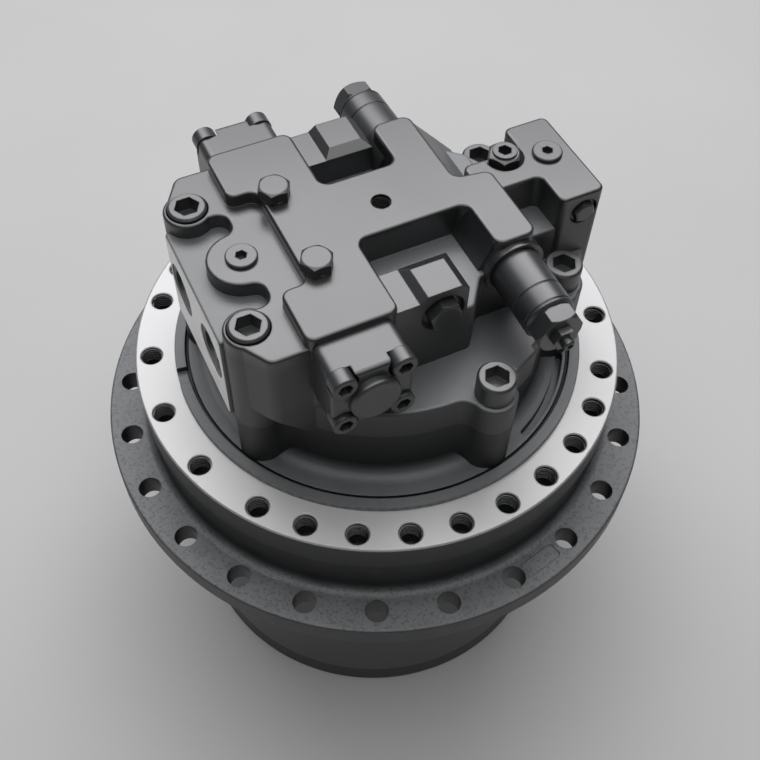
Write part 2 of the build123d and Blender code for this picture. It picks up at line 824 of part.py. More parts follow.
with BuildPart() as shaft_bearings:
    with BuildSketch(Plane.XY.offset(front_bearing_z)):
        Circle(shaft_bearing_radius)
        Circle(shaft_radius + running_fit, mode=Mode.SUBTRACT)
    extrude(amount=shaft_bearing_width)
    with BuildSketch(Plane.XY.offset(tail_bearing_z)):
        Circle(tail_bearing_radius)
        Circle(shaft_tail_radius + running_fit, mode=Mode.SUBTRACT)
    extrude(amount=shaft_bearing_width)
shaft_bearings.part.label = "shaft_bearings"
export_step(shaft_bearings.part, "parts/shaft_bearings.step")

with BuildPart() as shaft_seal:
    with BuildSketch(Plane.XY.offset(seal_z)):
        Circle(shaft_bearing_radius)
        Circle(shaft_radius + running_fit, mode=Mode.SUBTRACT)
    extrude(amount=shaft_seal_height)
shaft_seal.part.label = "shaft_seal"
export_step(shaft_seal.part, "parts/shaft_seal.step")

# Rotating group: cylinder block, pistons on shoes, and the plate that holds the shoes down
friction_teeth = 52
friction_module = 3.0
kidney_radius = 5.0
kidney_turn = 140.0
cylinder_floor = 8.0
piston_room = 6.0
piston_top_z = valve_plate_z - cylinder_floor - piston_room
brake_top_z = brake_step_z + brake_stack
with BuildPart() as cylinder_block:
    with BuildSketch(Plane.XY.offset(cylinder_block_z)):
        Circle(cylinder_block_radius)
    extrude(amount=cylinder_block_height - moving_gap)
    with BuildSketch(Plane.XY.offset(brake_step_z)):
        with BuildLine():
            Polyline(*spline_points(friction_teeth, friction_module, 0), close=True)
        make_face()
    extrude(amount=brake_stack)
    with BuildSketch(Plane.XY.offset(cylinder_block_z)):
        with BuildLine():
            Polyline(*spline_points(block_teeth, block_module, running_fit), close=True)
        make_face()
    extrude(amount=cylinder_block_height, mode=Mode.SUBTRACT)
    with BuildSketch(Plane.XY.offset(cylinder_block_z)):
        with PolarLocations(piston_circle, piston_count):
            Circle(piston_radius + running_fit)
    extrude(amount=cylinder_block_height - cylinder_floor, mode=Mode.SUBTRACT)
    with BuildSketch(Plane.XY.offset(valve_plate_z)):
        with PolarLocations(piston_circle, piston_count):
            Circle(kidney_radius)
    extrude(amount=-2 * cylinder_floor, mode=Mode.SUBTRACT)
cylinder_block.part.label = "cylinder_block"
export_step(cylinder_block.part, "parts/cylinder_block.step")

shoe_z = swash_top_z + moving_gap
ball_z = shoe_z + shoe_height + piston_ball_radius / 2
shoe_cup_wall = 3.0
shoe_cup_radius = piston_ball_radius + shoe_cup_wall
piston_neck_radius = 0.7 * piston_ball_radius
with BuildPart() as pistons:
    with BuildSketch(Plane.XY.offset(ball_z + 2 * piston_ball_radius)):
        with PolarLocations(piston_circle, piston_count):
            Circle(piston_radius)
    extrude(amount=piston_top_z - ball_z - 2 * piston_ball_radius)
    with BuildSketch(Plane.XY.offset(ball_z)):
        with PolarLocations(piston_circle, piston_count):
            Circle(piston_neck_radius)
    extrude(amount=2 * piston_ball_radius)
    with Locations((0, 0, ball_z)):
        with PolarLocations(piston_circle, piston_count):
            Sphere(piston_ball_radius)
pistons.part.label = "pistons"
export_step(pistons.part, "parts/pistons.step")

with BuildPart() as piston_shoes:
    with BuildSketch(Plane.XY.offset(shoe_z)):
        with PolarLocations(piston_circle, piston_count):
            Circle(shoe_radius)
    extrude(amount=shoe_height / 2)
    with BuildSketch(Plane.XY.offset(shoe_z)):
        with PolarLocations(piston_circle, piston_count):
            Circle(shoe_cup_radius)
    extrude(amount=ball_z - shoe_z + piston_ball_radius / 3)
    with Locations((0, 0, ball_z)):
        with PolarLocations(piston_circle, piston_count):
            Sphere(piston_ball_radius + running_fit, mode=Mode.SUBTRACT)
piston_shoes.part.label = "piston_shoes"
export_step(piston_shoes.part, "parts/piston_shoes.step")

retainer_height = 3.0
retainer_rim = 5.0
with BuildPart() as shoe_retainer:
    with BuildSketch(Plane.XY.offset(shoe_z + shoe_height / 2 + running_fit)):
        Circle(piston_circle + shoe_radius + retainer_rim)
        Circle(shaft_core_radius + running_fit, mode=Mode.SUBTRACT)
        with PolarLocations(piston_circle, piston_count):
            Circle(shoe_cup_radius + running_fit, mode=Mode.SUBTRACT)
    extrude(amount=retainer_height)
shoe_retainer.part.label = "shoe_retainer"
export_step(shoe_retainer.part, "parts/shoe_retainer.step")

with BuildPart() as swash_plate:
    with BuildSketch(Plane.XY.offset(cavity_z)):
        Circle(swash_radius)
        Circle(swash_bore, mode=Mode.SUBTRACT)
    extrude(amount=swash_height)
    fillet(swash_plate.edges().group_by(Axis.Z)[-1].sort_by(SortBy.LENGTH)[-1], swash_edge)
swash_plate.part.label = "swash_plate"
export_step(swash_plate.part, "parts/swash_plate.step")

with BuildPart() as valve_plate:
    with BuildSketch(Plane.XY.offset(valve_plate_z)):
        Circle(valve_plate_radius)
        Circle(shaft_core_radius, mode=Mode.SUBTRACT)
        for kidney_middle in (0, 180):
            kidney = CenterArc(
                (0, 0),
                piston_circle,
                kidney_middle - kidney_turn / 2,
                kidney_turn,
                mode=Mode.PRIVATE,
            )
            SlotArc(kidney, 2 * kidney_radius, mode=Mode.SUBTRACT)
    extrude(amount=valve_plate_height)
valve_plate.part.label = "valve_plate"
export_step(valve_plate.part, "parts/valve_plate.step")

# Parking brake: friction discs on the cylinder block between steel plates keyed to the case
lug_count = 6
lug_width = 16.0
lug_reach = 5.0
plate_pitch = brake_plate_height + moving_gap
plate_inner_radius = friction_module * (friction_teeth / 2 + 1) + moving_gap
disc_gap = 4.0
disc_outer_radius = brake_bore_radius - disc_gap
with BuildPart() as brake_plates:
    for layer in range(brake_disc_count + 1):
        with BuildSketch(Plane.XY.offset(brake_step_z + 2 * layer * plate_pitch)):
            Circle(brake_bore_radius - moving_gap)
            with PolarLocations(brake_bore_radius, lug_count):
                Rectangle(2 * lug_reach - 2 * moving_gap, lug_width - 2 * moving_gap)
            Circle(plate_inner_radius, mode=Mode.SUBTRACT)
        extrude(amount=brake_plate_height)
brake_plates.part.label = "brake_plates"
export_step(brake_plates.part, "parts/brake_plates.step")

with BuildPart() as friction_discs:
    for layer in range(brake_disc_count):
        with BuildSketch(Plane.XY.offset(brake_step_z + (2 * layer + 1) * plate_pitch)):
            Circle(disc_outer_radius)
            with BuildLine():
                Polyline(*spline_points(friction_teeth, friction_module, running_fit), close=True)
            make_face(mode=Mode.SUBTRACT)
        extrude(amount=brake_plate_height)
friction_discs.part.label = "friction_discs"
export_step(friction_discs.part, "parts/friction_discs.step")

brake_piston_z = brake_top_z
spring_margin = 2.0
piston_bore_gap = 5.0
brake_piston_bore = plate_inner_radius + piston_bore_gap
with BuildPart() as brake_piston:
    with BuildSketch(Plane.XY.offset(brake_piston_z)):
        Circle(brake_bore_radius - moving_gap / 2)
        Circle(brake_piston_bore, mode=Mode.SUBTRACT)
    extrude(amount=brake_piston_height)
brake_piston.part.label = "brake_piston"
export_step(brake_piston.part, "parts/brake_piston.step")

# Disc spring: one cone between the brake piston and the valve block
brake_spring_low = brake_piston_z + brake_piston_height
disc_thickness = 3.0
with BuildPart() as brake_spring:
    with BuildSketch(Plane.XZ):
        with BuildLine():
            Polyline(
                (brake_piston_bore + spring_margin, brake_spring_low),
                (brake_piston_bore + spring_margin, brake_spring_low + disc_thickness),
                (brake_bore_radius - spring_margin, split_z),
                (brake_bore_radius - spring_margin, split_z - disc_thickness),
                close=True,
            )
        make_face()
    revolve(axis=Axis.Z)
brake_spring.part.label = "brake_spring"
export_step(brake_spring.part, "parts/brake_spring.step")

# Motor case: spindle, frame flange, pilot, and the wall that carries the valve block
notch_angle = 171.5
notch_width = 16.0
crescent_start = -66.0
crescent_turn = 32.0
crescent_radius = 154.5
crescent_width = 6.0
wall_overlap = 12.0
flange_edge = 1.2
column_angles = block_bolt_angles + shoulder_bolt_angles
bolt_columns = [polar(block_bolt_circle, angle) for angle in column_angles]
with BuildSketch() as base_outline:
    Circle(case_radius)
    with Locations(*bolt_columns):
        Circle(bolt_boss_radius)
    fillet(base_outline.vertices(), boss_blend)

with BuildPart() as motor_case:
    with BuildSketch(Plane.XZ):
        with BuildLine():
            Polyline(
                (shaft_radius + moving_gap, spindle_end_z),
                (spindle_radius, spindle_end_z),
                (spindle_radius, spindle_shoulder_z),
                (spindle_radius + bearing_land, spindle_shoulder_z),
                (spindle_radius + bearing_land, spindle_shoulder_z + shoulder_relief),
                (shoulder_radius, spindle_shoulder_z + shoulder_relief),
                (shoulder_radius, flange_z + case_pocket_depth),
                (seal_pocket_radius, flange_z + case_pocket_depth),
                (seal_pocket_radius, flange_z),
                (frame_flange_radius, flange_z),
                (frame_flange_radius, face_z),
                (pilot_radius, face_z),
                (pilot_radius, face_z + pilot_height),
                (pilot_groove_radius, face_z + pilot_height),
                (pilot_groove_radius, face_z + pilot_height - pilot_groove_depth),
                (pilot_groove_radius - pilot_groove_width, face_z + pilot_height - pilot_groove_depth),
                (pilot_groove_radius - pilot_groove_width, face_z + rim_height),
                (rim_inner_radius, face_z + rim_height),
            )
            RadiusArc(
                (rim_inner_radius, face_z + rim_height),
                (rim_inner_radius - case_foot, face_z + rim_height + case_foot),
                case_foot,
            )
            Polyline(
                (rim_inner_radius - case_foot, face_z + rim_height + case_foot),
                (rim_inner_radius - case_foot, split_z),
                (brake_bore_radius, split_z),
                (brake_bore_radius, brake_step_z),
                (cavity_radius, brake_step_z),
                (cavity_radius, cavity_z),
                (shaft_radius + moving_gap, cavity_z),
                (shaft_radius + moving_gap, spindle_end_z),
            )
        make_face()
    revolve(axis=Axis.Z)
    edge_circles = motor_case.edges().filter_by(GeomType.CIRCLE)
    chamfer(edge_circles.filter_by(lambda e: abs(e.radius - frame_flange_radius) < 0.1), flange_edge)
    with BuildSketch(Plane.XY.offset(face_z + rim_height)):
        add(base_outline.sketch)
        Circle(case_radius - wall_overlap, mode=Mode.SUBTRACT)
    extrude(amount=split_height - rim_height)
    with BuildSketch(Plane.XY.offset(seal_z)):
        Circle(shaft_bearing_radius + seat_fit)
    extrude(amount=front_bearing_z + shaft_bearing_width - seal_z, mode=Mode.SUBTRACT)
    with BuildSketch(Plane.XY.offset(brake_step_z)):
        with PolarLocations(brake_bore_radius, lug_count):
            Rectangle(2 * lug_reach, lug_width)
    extrude(amount=brake_stack, mode=Mode.SUBTRACT)
    with Locations((0, 0, face_z)):
        for angle in frame_hole_angles:
            sides = [angle, -angle] if angle else [0, 180]
            with Locations(*[polar(frame_hole_circle, side) for side in sides]):
                CounterSinkHole(
                    frame_hole_radius,
                    frame_hole_radius + frame_hole_chamfer,
                    frame_flange_height + 1,
                    90,
                )
    with Locations((0, 0, split_z)):
        with Locations(*bolt_columns):
            Hole(block_bolt_radius + seat_fit, block_bolt_depth + bolt_tip_gap)
    with Locations(Plane.XY.offset(spindle_end_z).rotated((180, 0, 0))):
        with PolarLocations(carrier_bolt_circle, carrier_bolt_count, 180 / carrier_bolt_count):
            Hole(carrier_bolt_radius + seat_fit, carrier_bolt_thread + bolt_tip_gap)
    with BuildSketch(Plane.XY.offset(face_z + pilot_height)):
        with PolarLocations((pilot_radius + pilot_groove_radius) / 2, 1, notch_angle):
            Rectangle(pilot_radius - pilot_groove_radius + 1, notch_width)
    extrude(amount=-pilot_height, mode=Mode.SUBTRACT)
    with BuildSketch(Plane.XY.offset(face_z + rim_height)):
        SlotArc(
            CenterArc((0, 0), crescent_radius, crescent_start, crescent_turn, mode=Mode.PRIVATE),
            crescent_width,
        )
    extrude(amount=-pilot_groove_depth, mode=Mode.SUBTRACT)
motor_case.part.label = "motor_case"
export_step(motor_case.part, "parts/motor_case.step")

# Valve block: a cast base on the case, a stepped body and a machined top with two pockets
inner_x = -60.0
bridge_x = arm_right_x - bridge_overlap
foot_reach = 88.0
foot_right_x = 162.0
deck_points = [
    (port_face_x, -deck_half_width),
    (inner_x, -deck_half_width),
    (inner_x, deck_half_width),
    (port_face_x, deck_half_width),
]
body_points = [
    (finger_x, -body_reach),
    (body_corner_x, -body_reach),
    (pocket_foot_x, -relief_front_face),
    (arm_right_x, -relief_front_face),
    (body_right_x, -wing_half_width),
    (body_right_x, wing_half_width),
    (back_arm_right_x, relief_back_face),
    (body_corner_x, body_reach),
    (finger_x, body_reach),
]
shoulder_points = [
    (shoulder_corner_x, -shoulder_reach),
    (inner_x, -shoulder_reach),
    (inner_x, shoulder_reach),
    (shoulder_corner_x, shoulder_reach),
    (shoulder_left_x, shoulder_front_y),
    (shoulder_left_x, finger_y),
    (finger_x, finger_y),
    (finger_x, -finger_y),
    (shoulder_left_x, -finger_y),
    (shoulder_left_x, -shoulder_front_y),
]
top_points = [
    (arm_left_x, -arm_reach),
    (pocket_left_x, -arm_reach),
    (pocket_left_x, front_pocket_y),
    (front_pocket_right_x, front_pocket_y),
    (front_pocket_right_x, -relief_front_face),
    (arm_right_x, -relief_front_face),
    (arm_right_x, arm_step_y),
    (back_arm_right_x, back_arm_step_y),
    (back_arm_right_x, relief_back_face),
    (back_pocket_right_x, relief_back_face),
    (back_pocket_right_x, back_pocket_y),
    (pocket_left_x, back_pocket_y),
    (pocket_left_x, arm_reach),
    (arm_left_x, arm_reach),
    (arm_left_x, waist_half_width),
    (waist_x, waist_half_width),
    (waist_x, -waist_half_width),
    (arm_left_x, -waist_half_width),
]
wing_points = [
    (wing_left_x, -wing_half_width),
    (wing_right_x, -wing_half_width),
    (wing_right_x, wing_half_width),
    (wing_left_x, wing_half_width),
    (wing_left_x, bridge_back_y),
    (bridge_x, bridge_back_y),
    (bridge_x, bridge_front_y),
    (wing_left_x, bridge_front_y),
]
foot_points = [
    (bridge_x, -arm_reach),
    (wing_left_x, -foot_reach),
    (foot_right_x, -wing_half_width),
    (foot_right_x, wing_half_width),
    (wing_left_x, foot_reach),
    (bridge_x, arm_reach),
]
ledge_corner_points = [(30, -84), (50, -132), (74, -121), (70, -84)]
recess_points = [
    (bridge_x, -wing_half_width + edge_round),
    (wing_left_x + bridge_overlap, -wing_half_width + edge_round),
    (wing_left_x + bridge_overlap, wing_half_width - edge_round),
    (bridge_x, wing_half_width - edge_round),
]
body_corner = 6.0
top_corner = 8.0
deck_corner = 3.0
foot_corner = 10.0
ledge_corner = 2.0
recess_corner = 4.0
top_prism = rounded_prism(top_points, top_corner, ledge_z, top_z, edge_round)
deck_prism = rounded_prism(deck_points, deck_corner, split_z, port_deck_z, edge_round)
body_prism = rounded_prism(body_points, body_corner, split_z, pocket_z, edge_round)
wing_prism = rounded_prism(wing_points, body_corner, split_z, wing_z, edge_round)
foot_prism = rounded_prism(foot_points, foot_corner, split_z, ledge_z, edge_round)
ledge_corner_prism = rounded_prism(ledge_corner_points, ledge_corner, split_z, ledge_z, edge_round)
recess_prism = rounded_prism(recess_points, recess_corner, split_z, face_z + recess_height, edge_round)

shoulder_corner = 9.0
skirt_radius = 142.0
skirt_reach = 162.0
shoulder_bolts = [polar(block_bolt_circle, angle) for angle in shoulder_bolt_angles]
with BuildSketch() as shoulder_outline:
    with BuildLine():
        Polyline(*shoulder_points, close=True)
    make_face()
    with Locations((shoulder_plug_x, 0)):
        Circle(shoulder_plug_radius)
    fillet(shoulder_outline.vertices(), shoulder_corner)
with BuildPart() as shoulder_body:
    with BuildSketch(Plane.XY.offset(split_z)):
        add(shoulder_outline.sketch)
    extrude(amount=shoulder_z - split_z)
    fillet(shoulder_body.edges().group_by(Axis.Z)[-1], edge_round)
    with BuildSketch(Plane.XZ):
        with BuildLine():
            Polyline(
                (skirt_radius, split_z),
                (skirt_reach, ledge_z),
                (2 * skirt_reach, ledge_z),
                (2 * skirt_reach, split_z),
                close=True,
            )
        make_face()
    revolve(axis=Axis.Z, mode=Mode.SUBTRACT)

with BuildPart() as shoulder_posts:
    with BuildSketch(Plane.XY.offset(split_z)):
        with Locations(*shoulder_bolts):
            Circle(shoulder_boss_radius)
    extrude(amount=shoulder_z - split_z)
    fillet(shoulder_posts.edges().group_by(Axis.Z)[-1], edge_round)

check_room = 4.0
with BuildPart() as check_bosses:
    with BuildSketch(Plane.XZ.offset(check_front)):
        with BuildLine():
            Polyline(
                (pocket_left_x - top_corner, ledge_z),
                (pocket_left_x - top_corner, top_z - check_slope_drop),
                (check_x - check_boss_half - check_slope_run, top_z - check_slope_drop),
                (check_x - check_boss_half, top_z),
                (check_x + check_boss_half, top_z),
                (check_x + check_boss_half + check_slope_run, top_z - check_slope_drop),
                (check_x + check_boss_half + check_slope_run, ledge_z),
                close=True,
            )
        make_face()
    extrude(amount=check_inner_y - check_front)
    with BuildSketch(Plane.YZ.offset(pocket_left_x - top_corner)):
        with BuildLine():
            Polyline(
                (-check_pad_y, top_z),
                (-check_inner_y, top_z),
                (-check_inner_y, top_z - check_slope_drop),
                close=True,
            )
        make_face()
    extrude(amount=body_right_x - pocket_left_x, mode=Mode.SUBTRACT)
    mirror(about=Plane.XZ)

relief_front = Plane(
    (relief_front_x, -relief_front_face, relief_z),
    x_dir=(1, 0, 0),
    z_dir=(0, -cos(radians(relief_tilt)), -sin(radians(relief_tilt))),
)
relief_back = Plane(
    (relief_back_x, relief_back_face, relief_z),
    x_dir=(-1, 0, 0),
    z_dir=(0, cos(radians(relief_tilt)), -sin(radians(relief_tilt))),
)
relief_planes = [relief_front, relief_back]
cap_front = Plane((spool_x, -arm_reach, spool_z), x_dir=(1, 0, 0), z_dir=(0, -1, 0))
cap_back = Plane((spool_x, arm_reach, spool_z), x_dir=(-1, 0, 0), z_dir=(0, 1, 0))
cap_corners = [
    (side * cap_screw_x, level * cap_screw_z) for side in (-1, 1) for level in (-1, 1)
]
cap_spot_depth = 9.0
cap_screw_head = 12.5
cap_corner = 7.0
cap_edge = 3.5
cap_screw_head_radius = 9.4
cap_spot_radius = 11.4
cap_cavity_wall = 1.5
cap_thread = 16.0
side_plug_inset = 16.6
side_plug_height = 125.0
side_spot_depth = 4.0
side_spot_radius = 12.0
check_spot_depth = 5.0
check_spot_radius = 17.0
side_plug_plane = Plane(
    (wing_right_x - side_plug_inset, side_spot_depth - wing_half_width, face_z + side_plug_height),
    x_dir=(1, 0, 0),
    z_dir=(0, -1, 0),
)
check_planes = [
    Plane((check_x, check_spot_depth - check_front, check_z), x_dir=(1, 0, 0), z_dir=(0, -1, 0)),
    Plane((check_x, check_front - check_spot_depth, check_z), x_dir=(-1, 0, 0), z_dir=(0, 1, 0)),
]
wedge_overlap = 5.0
plug_thread_radius = 10.0
plug_thread_length = 20.0
plug_end_gap = 2.0
top_plug_y = 39.0
top_plug_points = [(spool_x, -top_plug_y), (spool_x, top_plug_y)]
top_plug_thread = 8.0
top_plug_length = 14.0
spot_depth = 1.0
spot_rim = 6.0
head_gap = 1.0
flush_plug_radius = 12.0
flush_plug_rim = 3.0
flush_plug_key = 8.0
wing_plug_point = (148.0, 6.5)
fitting_point = (115.0, 16.6)
fitting_pocket_radius = 16.0
fitting_pocket_depth = 18.0
shoulder_seat_z = shoulder_z + shoulder_bolt_proud - block_bolt_head
ledge_bolts = [polar(block_bolt_circle, angle) for angle in block_bolt_angles]
with BuildPart() as valve_block:
    with BuildSketch(Plane.XY.offset(split_z)):
        add(base_outline.sketch)
    extrude(amount=ledge_z - split_z)
    fillet(valve_block.edges().group_by(Axis.Z)[-1], edge_round)
    add(foot_prism)
    add(ledge_corner_prism)
    add(recess_prism)
    add(deck_prism)
    add(body_prism)
    add(shoulder_body.part)
    add(shoulder_posts.part)
    add(wing_prism)
    add(check_bosses.part)
    add(top_prism)
    with BuildSketch(Plane.XZ.offset(top_corner - relief_back_face)):
        with BuildLine():
            Polyline(
                (back_arm_right_x - wedge_overlap, top_z - edge_round),
                (back_arm_right_x, top_z - edge_round),
                (body_right_x, face_z + recess_height),
                (back_arm_right_x - wedge_overlap, face_z + recess_height),
                close=True,
            )
        make_face()
    extrude(amount=relief_back_face - top_corner - wedge_overlap)
    with BuildSketch(Plane.XZ.offset(-front_pocket_y - wedge_overlap)):
        with BuildLine():
            Polyline(
                (front_pocket_right_x + wedge_overlap, top_z - edge_round),
                (front_pocket_right_x, top_z - edge_round),
                (pocket_foot_x, pocket_z),
                (front_pocket_right_x + wedge_overlap, pocket_z),
                close=True,
            )
        make_face()
    extrude(amount=relief_front_face + front_pocket_y)
    with Locations(*[plane.offset(relief_boss_reach) for plane in relief_planes]):
        Cylinder(
            relief_radius + relief_boss_wall,
            relief_seat_depth,
            align=(Align.CENTER, Align.CENTER, Align.MAX),
        )
    with Locations(*relief_planes):
        Cylinder(
            relief_thread_radius + seat_fit,
            relief_seat_depth + plug_end_gap,
            align=(Align.CENTER, Align.CENTER, Align.MAX),
            mode=Mode.SUBTRACT,
        )
        Cylinder(
            relief_radius + moving_gap,
            relief_seat_depth,
            align=(Align.CENTER, Align.CENTER, Align.MIN),
            mode=Mode.SUBTRACT,
        )
    with Locations(cap_front):
        Cylinder(spool_radius + running_fit, 4 * arm_reach, mode=Mode.SUBTRACT)
    with Locations(cap_front, cap_back):
        with Locations(*cap_corners):
            Hole(cap_screw_radius + seat_fit, cap_thread + bolt_tip_gap)
    with Locations(*check_planes):
        Hole(plug_thread_radius + seat_fit, plug_thread_length + check_room)
        Cylinder(
            check_spot_radius,
            2 * check_spot_depth,
            align=(Align.CENTER, Align.CENTER, Align.MIN),
            mode=Mode.SUBTRACT,
        )
    with Locations(side_plug_plane):
        Hole(plug_thread_radius + seat_fit, plug_thread_length + plug_end_gap)
        Cylinder(
            side_spot_radius,
            2 * side_spot_depth,
            align=(Align.CENTER, Align.CENTER, Align.MIN),
            mode=Mode.SUBTRACT,
        )
    with Locations((0, 0, top_z)):
        Hole(lifting_hole_radius, lifting_hole_depth)
        with Locations(*top_plug_points):
            Hole(top_plug_thread + seat_fit, top_plug_length + plug_end_gap)
    with Locations((shoulder_plug_x, 0, shoulder_z)):
        Hole(plug_thread_ratio * flush_plug_radius + seat_fit, plug_thread_length + plug_end_gap)
    with Locations((*wing_plug_point, wing_z)):
        Hole(plug_thread_ratio * flush_plug_radius + seat_fit, plug_thread_length + plug_end_gap)
    with Locations((*fitting_point, wing_z)):
        CounterBoreHole(
            top_plug_thread + seat_fit,
            fitting_pocket_radius,
            fitting_pocket_depth,
            fitting_pocket_depth + plug_thread_length + plug_end_gap,
        )
    with Locations((0, 0, ledge_z)):
        with Locations(*ledge_bolts):
            Cylinder(
                block_bolt_head_radius + head_gap,
                block_bolt_head + 2 * head_gap,
                align=(Align.CENTER, Align.CENTER, Align.MIN),
                mode=Mode.SUBTRACT,
            )
            Hole(block_bolt_radius + bolt_hole_gap, ledge_z - split_z + 1)
    with Locations((0, 0, shoulder_seat_z)):
        with Locations(*shoulder_bolts):
            Cylinder(
                block_bolt_head_radius + head_gap,
                block_bolt_head + 2 * head_gap,
                align=(Align.CENTER, Align.CENTER, Align.MIN),
                mode=Mode.SUBTRACT,
            )
            Hole(block_bolt_radius + bolt_hole_gap, shoulder_seat_z - split_z + 1)
    with Locations(Plane((port_face_x, 0, port_z), x_dir=(0, 1, 0), z_dir=(-1, 0, 0))):
        with GridLocations(port_spacing, 1, 2, 1):
            CounterBoreHole(port_radius, port_radius + spot_rim, spot_depth, port_depth)
    with Locations((0, 0, split_z)):
        Cylinder(
            tail_bearing_radius + seat_fit,
            tail_bearing_z + shaft_bearing_width - split_z + 1,
            align=(Align.CENTER, Align.CENTER, Align.MIN),
            mode=Mode.SUBTRACT,
        )
valve_block.part.label = "valve_block"
export_step(valve_block.part, "parts/valve_block.step")

# Block bolts: cap screws that clamp the block to the case
ledge_bolt = socket_screw(
    block_bolt_radius,
    block_bolt_head_radius,
    block_bolt_head,
    block_bolt_key,
    ledge_z - split_z + block_bolt_depth,
)
shoulder_bolt = socket_screw(
    block_bolt_radius,
    block_bolt_head_radius,
    block_bolt_head,
    block_bolt_key,
    shoulder_seat_z - split_z + block_bolt_depth,
)
with BuildPart() as block_bolts:
    with Locations((0, 0, ledge_z)):
        with Locations(*ledge_bolts):
            add(ledge_bolt)
    with Locations((0, 0, shoulder_seat_z)):
        with Locations(*shoulder_bolts):
            add(shoulder_bolt)
block_bolts.part.label = "block_bolts"
export_step(block_bolts.part, "parts/block_bolts.step")

# Spool caps: one at each end of the spool bore, with a round boss and four sunk screws
cap_names = {"spool_cap_front": cap_front, "spool_cap_back": cap_back}
for cap_name, cap_plane in cap_names.items():
    with BuildPart() as spool_cap:
        with BuildSketch(cap_plane):
            RectangleRounded(cap_width, cap_height, cap_corner)
        extrude(amount=cap_depth)
        outer_face = spool_cap.faces().sort_by(Axis(cap_plane.origin, cap_plane.z_dir))[-1]
        fillet(outer_face.edges(), cap_edge)
        with BuildSketch(cap_plane.offset(cap_depth - 1)):
            Circle(cap_boss_radius)
        extrude(amount=cap_boss_height + 1)
        boss_face = spool_cap.faces().sort_by(Axis(cap_plane.origin, cap_plane.z_dir))[-1]
        fillet(boss_face.edges(), edge_round)
        with BuildSketch(cap_plane.offset(cap_depth - cap_spot_depth)):
            with Locations(*cap_corners):
                Circle(cap_spot_radius)
        extrude(amount=cap_spot_depth, mode=Mode.SUBTRACT)
        with BuildSketch(cap_plane):
            with Locations(*cap_corners):
                Circle(cap_screw_radius + bolt_hole_gap)
        extrude(amount=cap_depth, mode=Mode.SUBTRACT)
        with BuildSketch(cap_plane):
            Circle(spool_radius + cap_cavity_wall)
        extrude(amount=cap_cavity_depth, mode=Mode.SUBTRACT)
    spool_cap.part.label = cap_name
    export_step(spool_cap.part, f"parts/{cap_name}.step")

cap_screw = socket_screw(
    cap_screw_radius,
    cap_screw_head_radius,
    cap_screw_head,
    screw_key_ratio * cap_screw_radius,
    cap_depth - cap_spot_depth + cap_thread,
)
with BuildPart() as cap_screws:
    for cap_plane in cap_names.values():
        with Locations(cap_plane.offset(cap_depth - cap_spot_depth)):
            with Locations(*cap_corners):
                add(cap_screw)
cap_screws.part.label = "cap_screws"
export_step(cap_screws.part, "parts/cap_screws.step")

# Counterbalance spool: a slim bar with lands and grooves, held in the middle by two springs
groove_width = 16.0
groove_cut = 4.0
groove_places = [-60, -20, 20, 60]
with BuildPart() as balance_spool:
    with Locations(Plane((spool_x, 0, spool_z), x_dir=(1, 0, 0), z_dir=(0, -1, 0))):
        Cylinder(spool_radius, spool_length)
        with Locations(*[(0, 0, place) for place in groove_places]):
            Cylinder(spool_radius + 1, groove_width, mode=Mode.SUBTRACT)
            Cylinder(spool_radius - groove_cut, groove_width)
balance_spool.part.label = "balance_spool"
export_step(balance_spool.part, "parts/balance_spool.step")

spring_wall_gap = 3.5
spring_radius = spool_radius - spring_wall_gap
spring_length = arm_reach + cap_cavity_depth - spool_length / 2 - 2 * spring_wire - 2 * moving_gap
with BuildPart() as spool_springs:
    for side_plane in (cap_front, cap_back):
        start = side_plane.offset(spool_length / 2 - arm_reach + spring_wire + moving_gap)
        with BuildLine() as coil:
            Helix(
                spring_length / spring_turns,
                spring_length,
                spring_radius,
                center=start.origin,
                direction=start.z_dir,
            )
        with BuildSketch(Plane(coil.line @ 0, z_dir=coil.line % 0)):
            Circle(spring_wire)
        sweep(path=coil.line)
spool_springs.part.label = "spool_springs"
export_step(spool_springs.part, "parts/spool_springs.step")

# Plugs and fittings on the block
top_plug_key = 22.0
top_plug_head = 8.5
top_plug_collar = 11.5
plug_collar_height = 1.5
top_plug = hex_plug(
    top_plug_key,
    top_plug_head,
    top_plug_collar,
    plug_collar_height,
    top_plug_thread,
    top_plug_length,
)
with BuildPart() as top_plugs:
    with Locations((0, 0, top_z)):
        with Locations(*top_plug_points):
            add(top_plug)
top_plugs.part.label = "top_plugs"
export_step(top_plugs.part, "parts/top_plugs.step")

check_plug_key = 23.0
check_plug_head = 10.0
check_plug_collar = 14.5
plug_turn = -14.0
check_plug = hex_plug(
    check_plug_key,
    check_plug_head,
    check_plug_collar,
    plug_collar_height,
    plug_thread_radius,
    plug_thread_length,
)
with BuildPart() as check_plugs:
    with Locations(*check_planes):
        add(check_plug, rotation=(0, 0, plug_turn))
check_plugs.part.label = "check_plugs"
export_step(check_plugs.part, "parts/check_plugs.step")

side_plug_key = 16.0
side_plug_head = 5.5
side_plug_collar = 10.5
side_hex = hex_plug(
    side_plug_key,
    side_plug_head,
    side_plug_collar,
    plug_collar_height,
    plug_thread_radius,
    plug_thread_length,
)
with BuildPart() as side_plug:
    with Locations(side_plug_plane):
        add(side_hex, rotation=(0, 0, plug_turn))
side_plug.part.label = "side_plug"
export_step(side_plug.part, "parts/side_plug.step")

deck_plug = flush_plug(flush_plug_radius, flush_plug_rim, flush_plug_key, plug_thread_length)
with BuildPart() as flush_plugs:
    with Locations((shoulder_plug_x, 0, shoulder_z), (*wing_plug_point, wing_z)):
        add(deck_plug)
flush_plugs.part.label = "flush_plugs"
export_step(flush_plugs.part, "parts/flush_plugs.step")

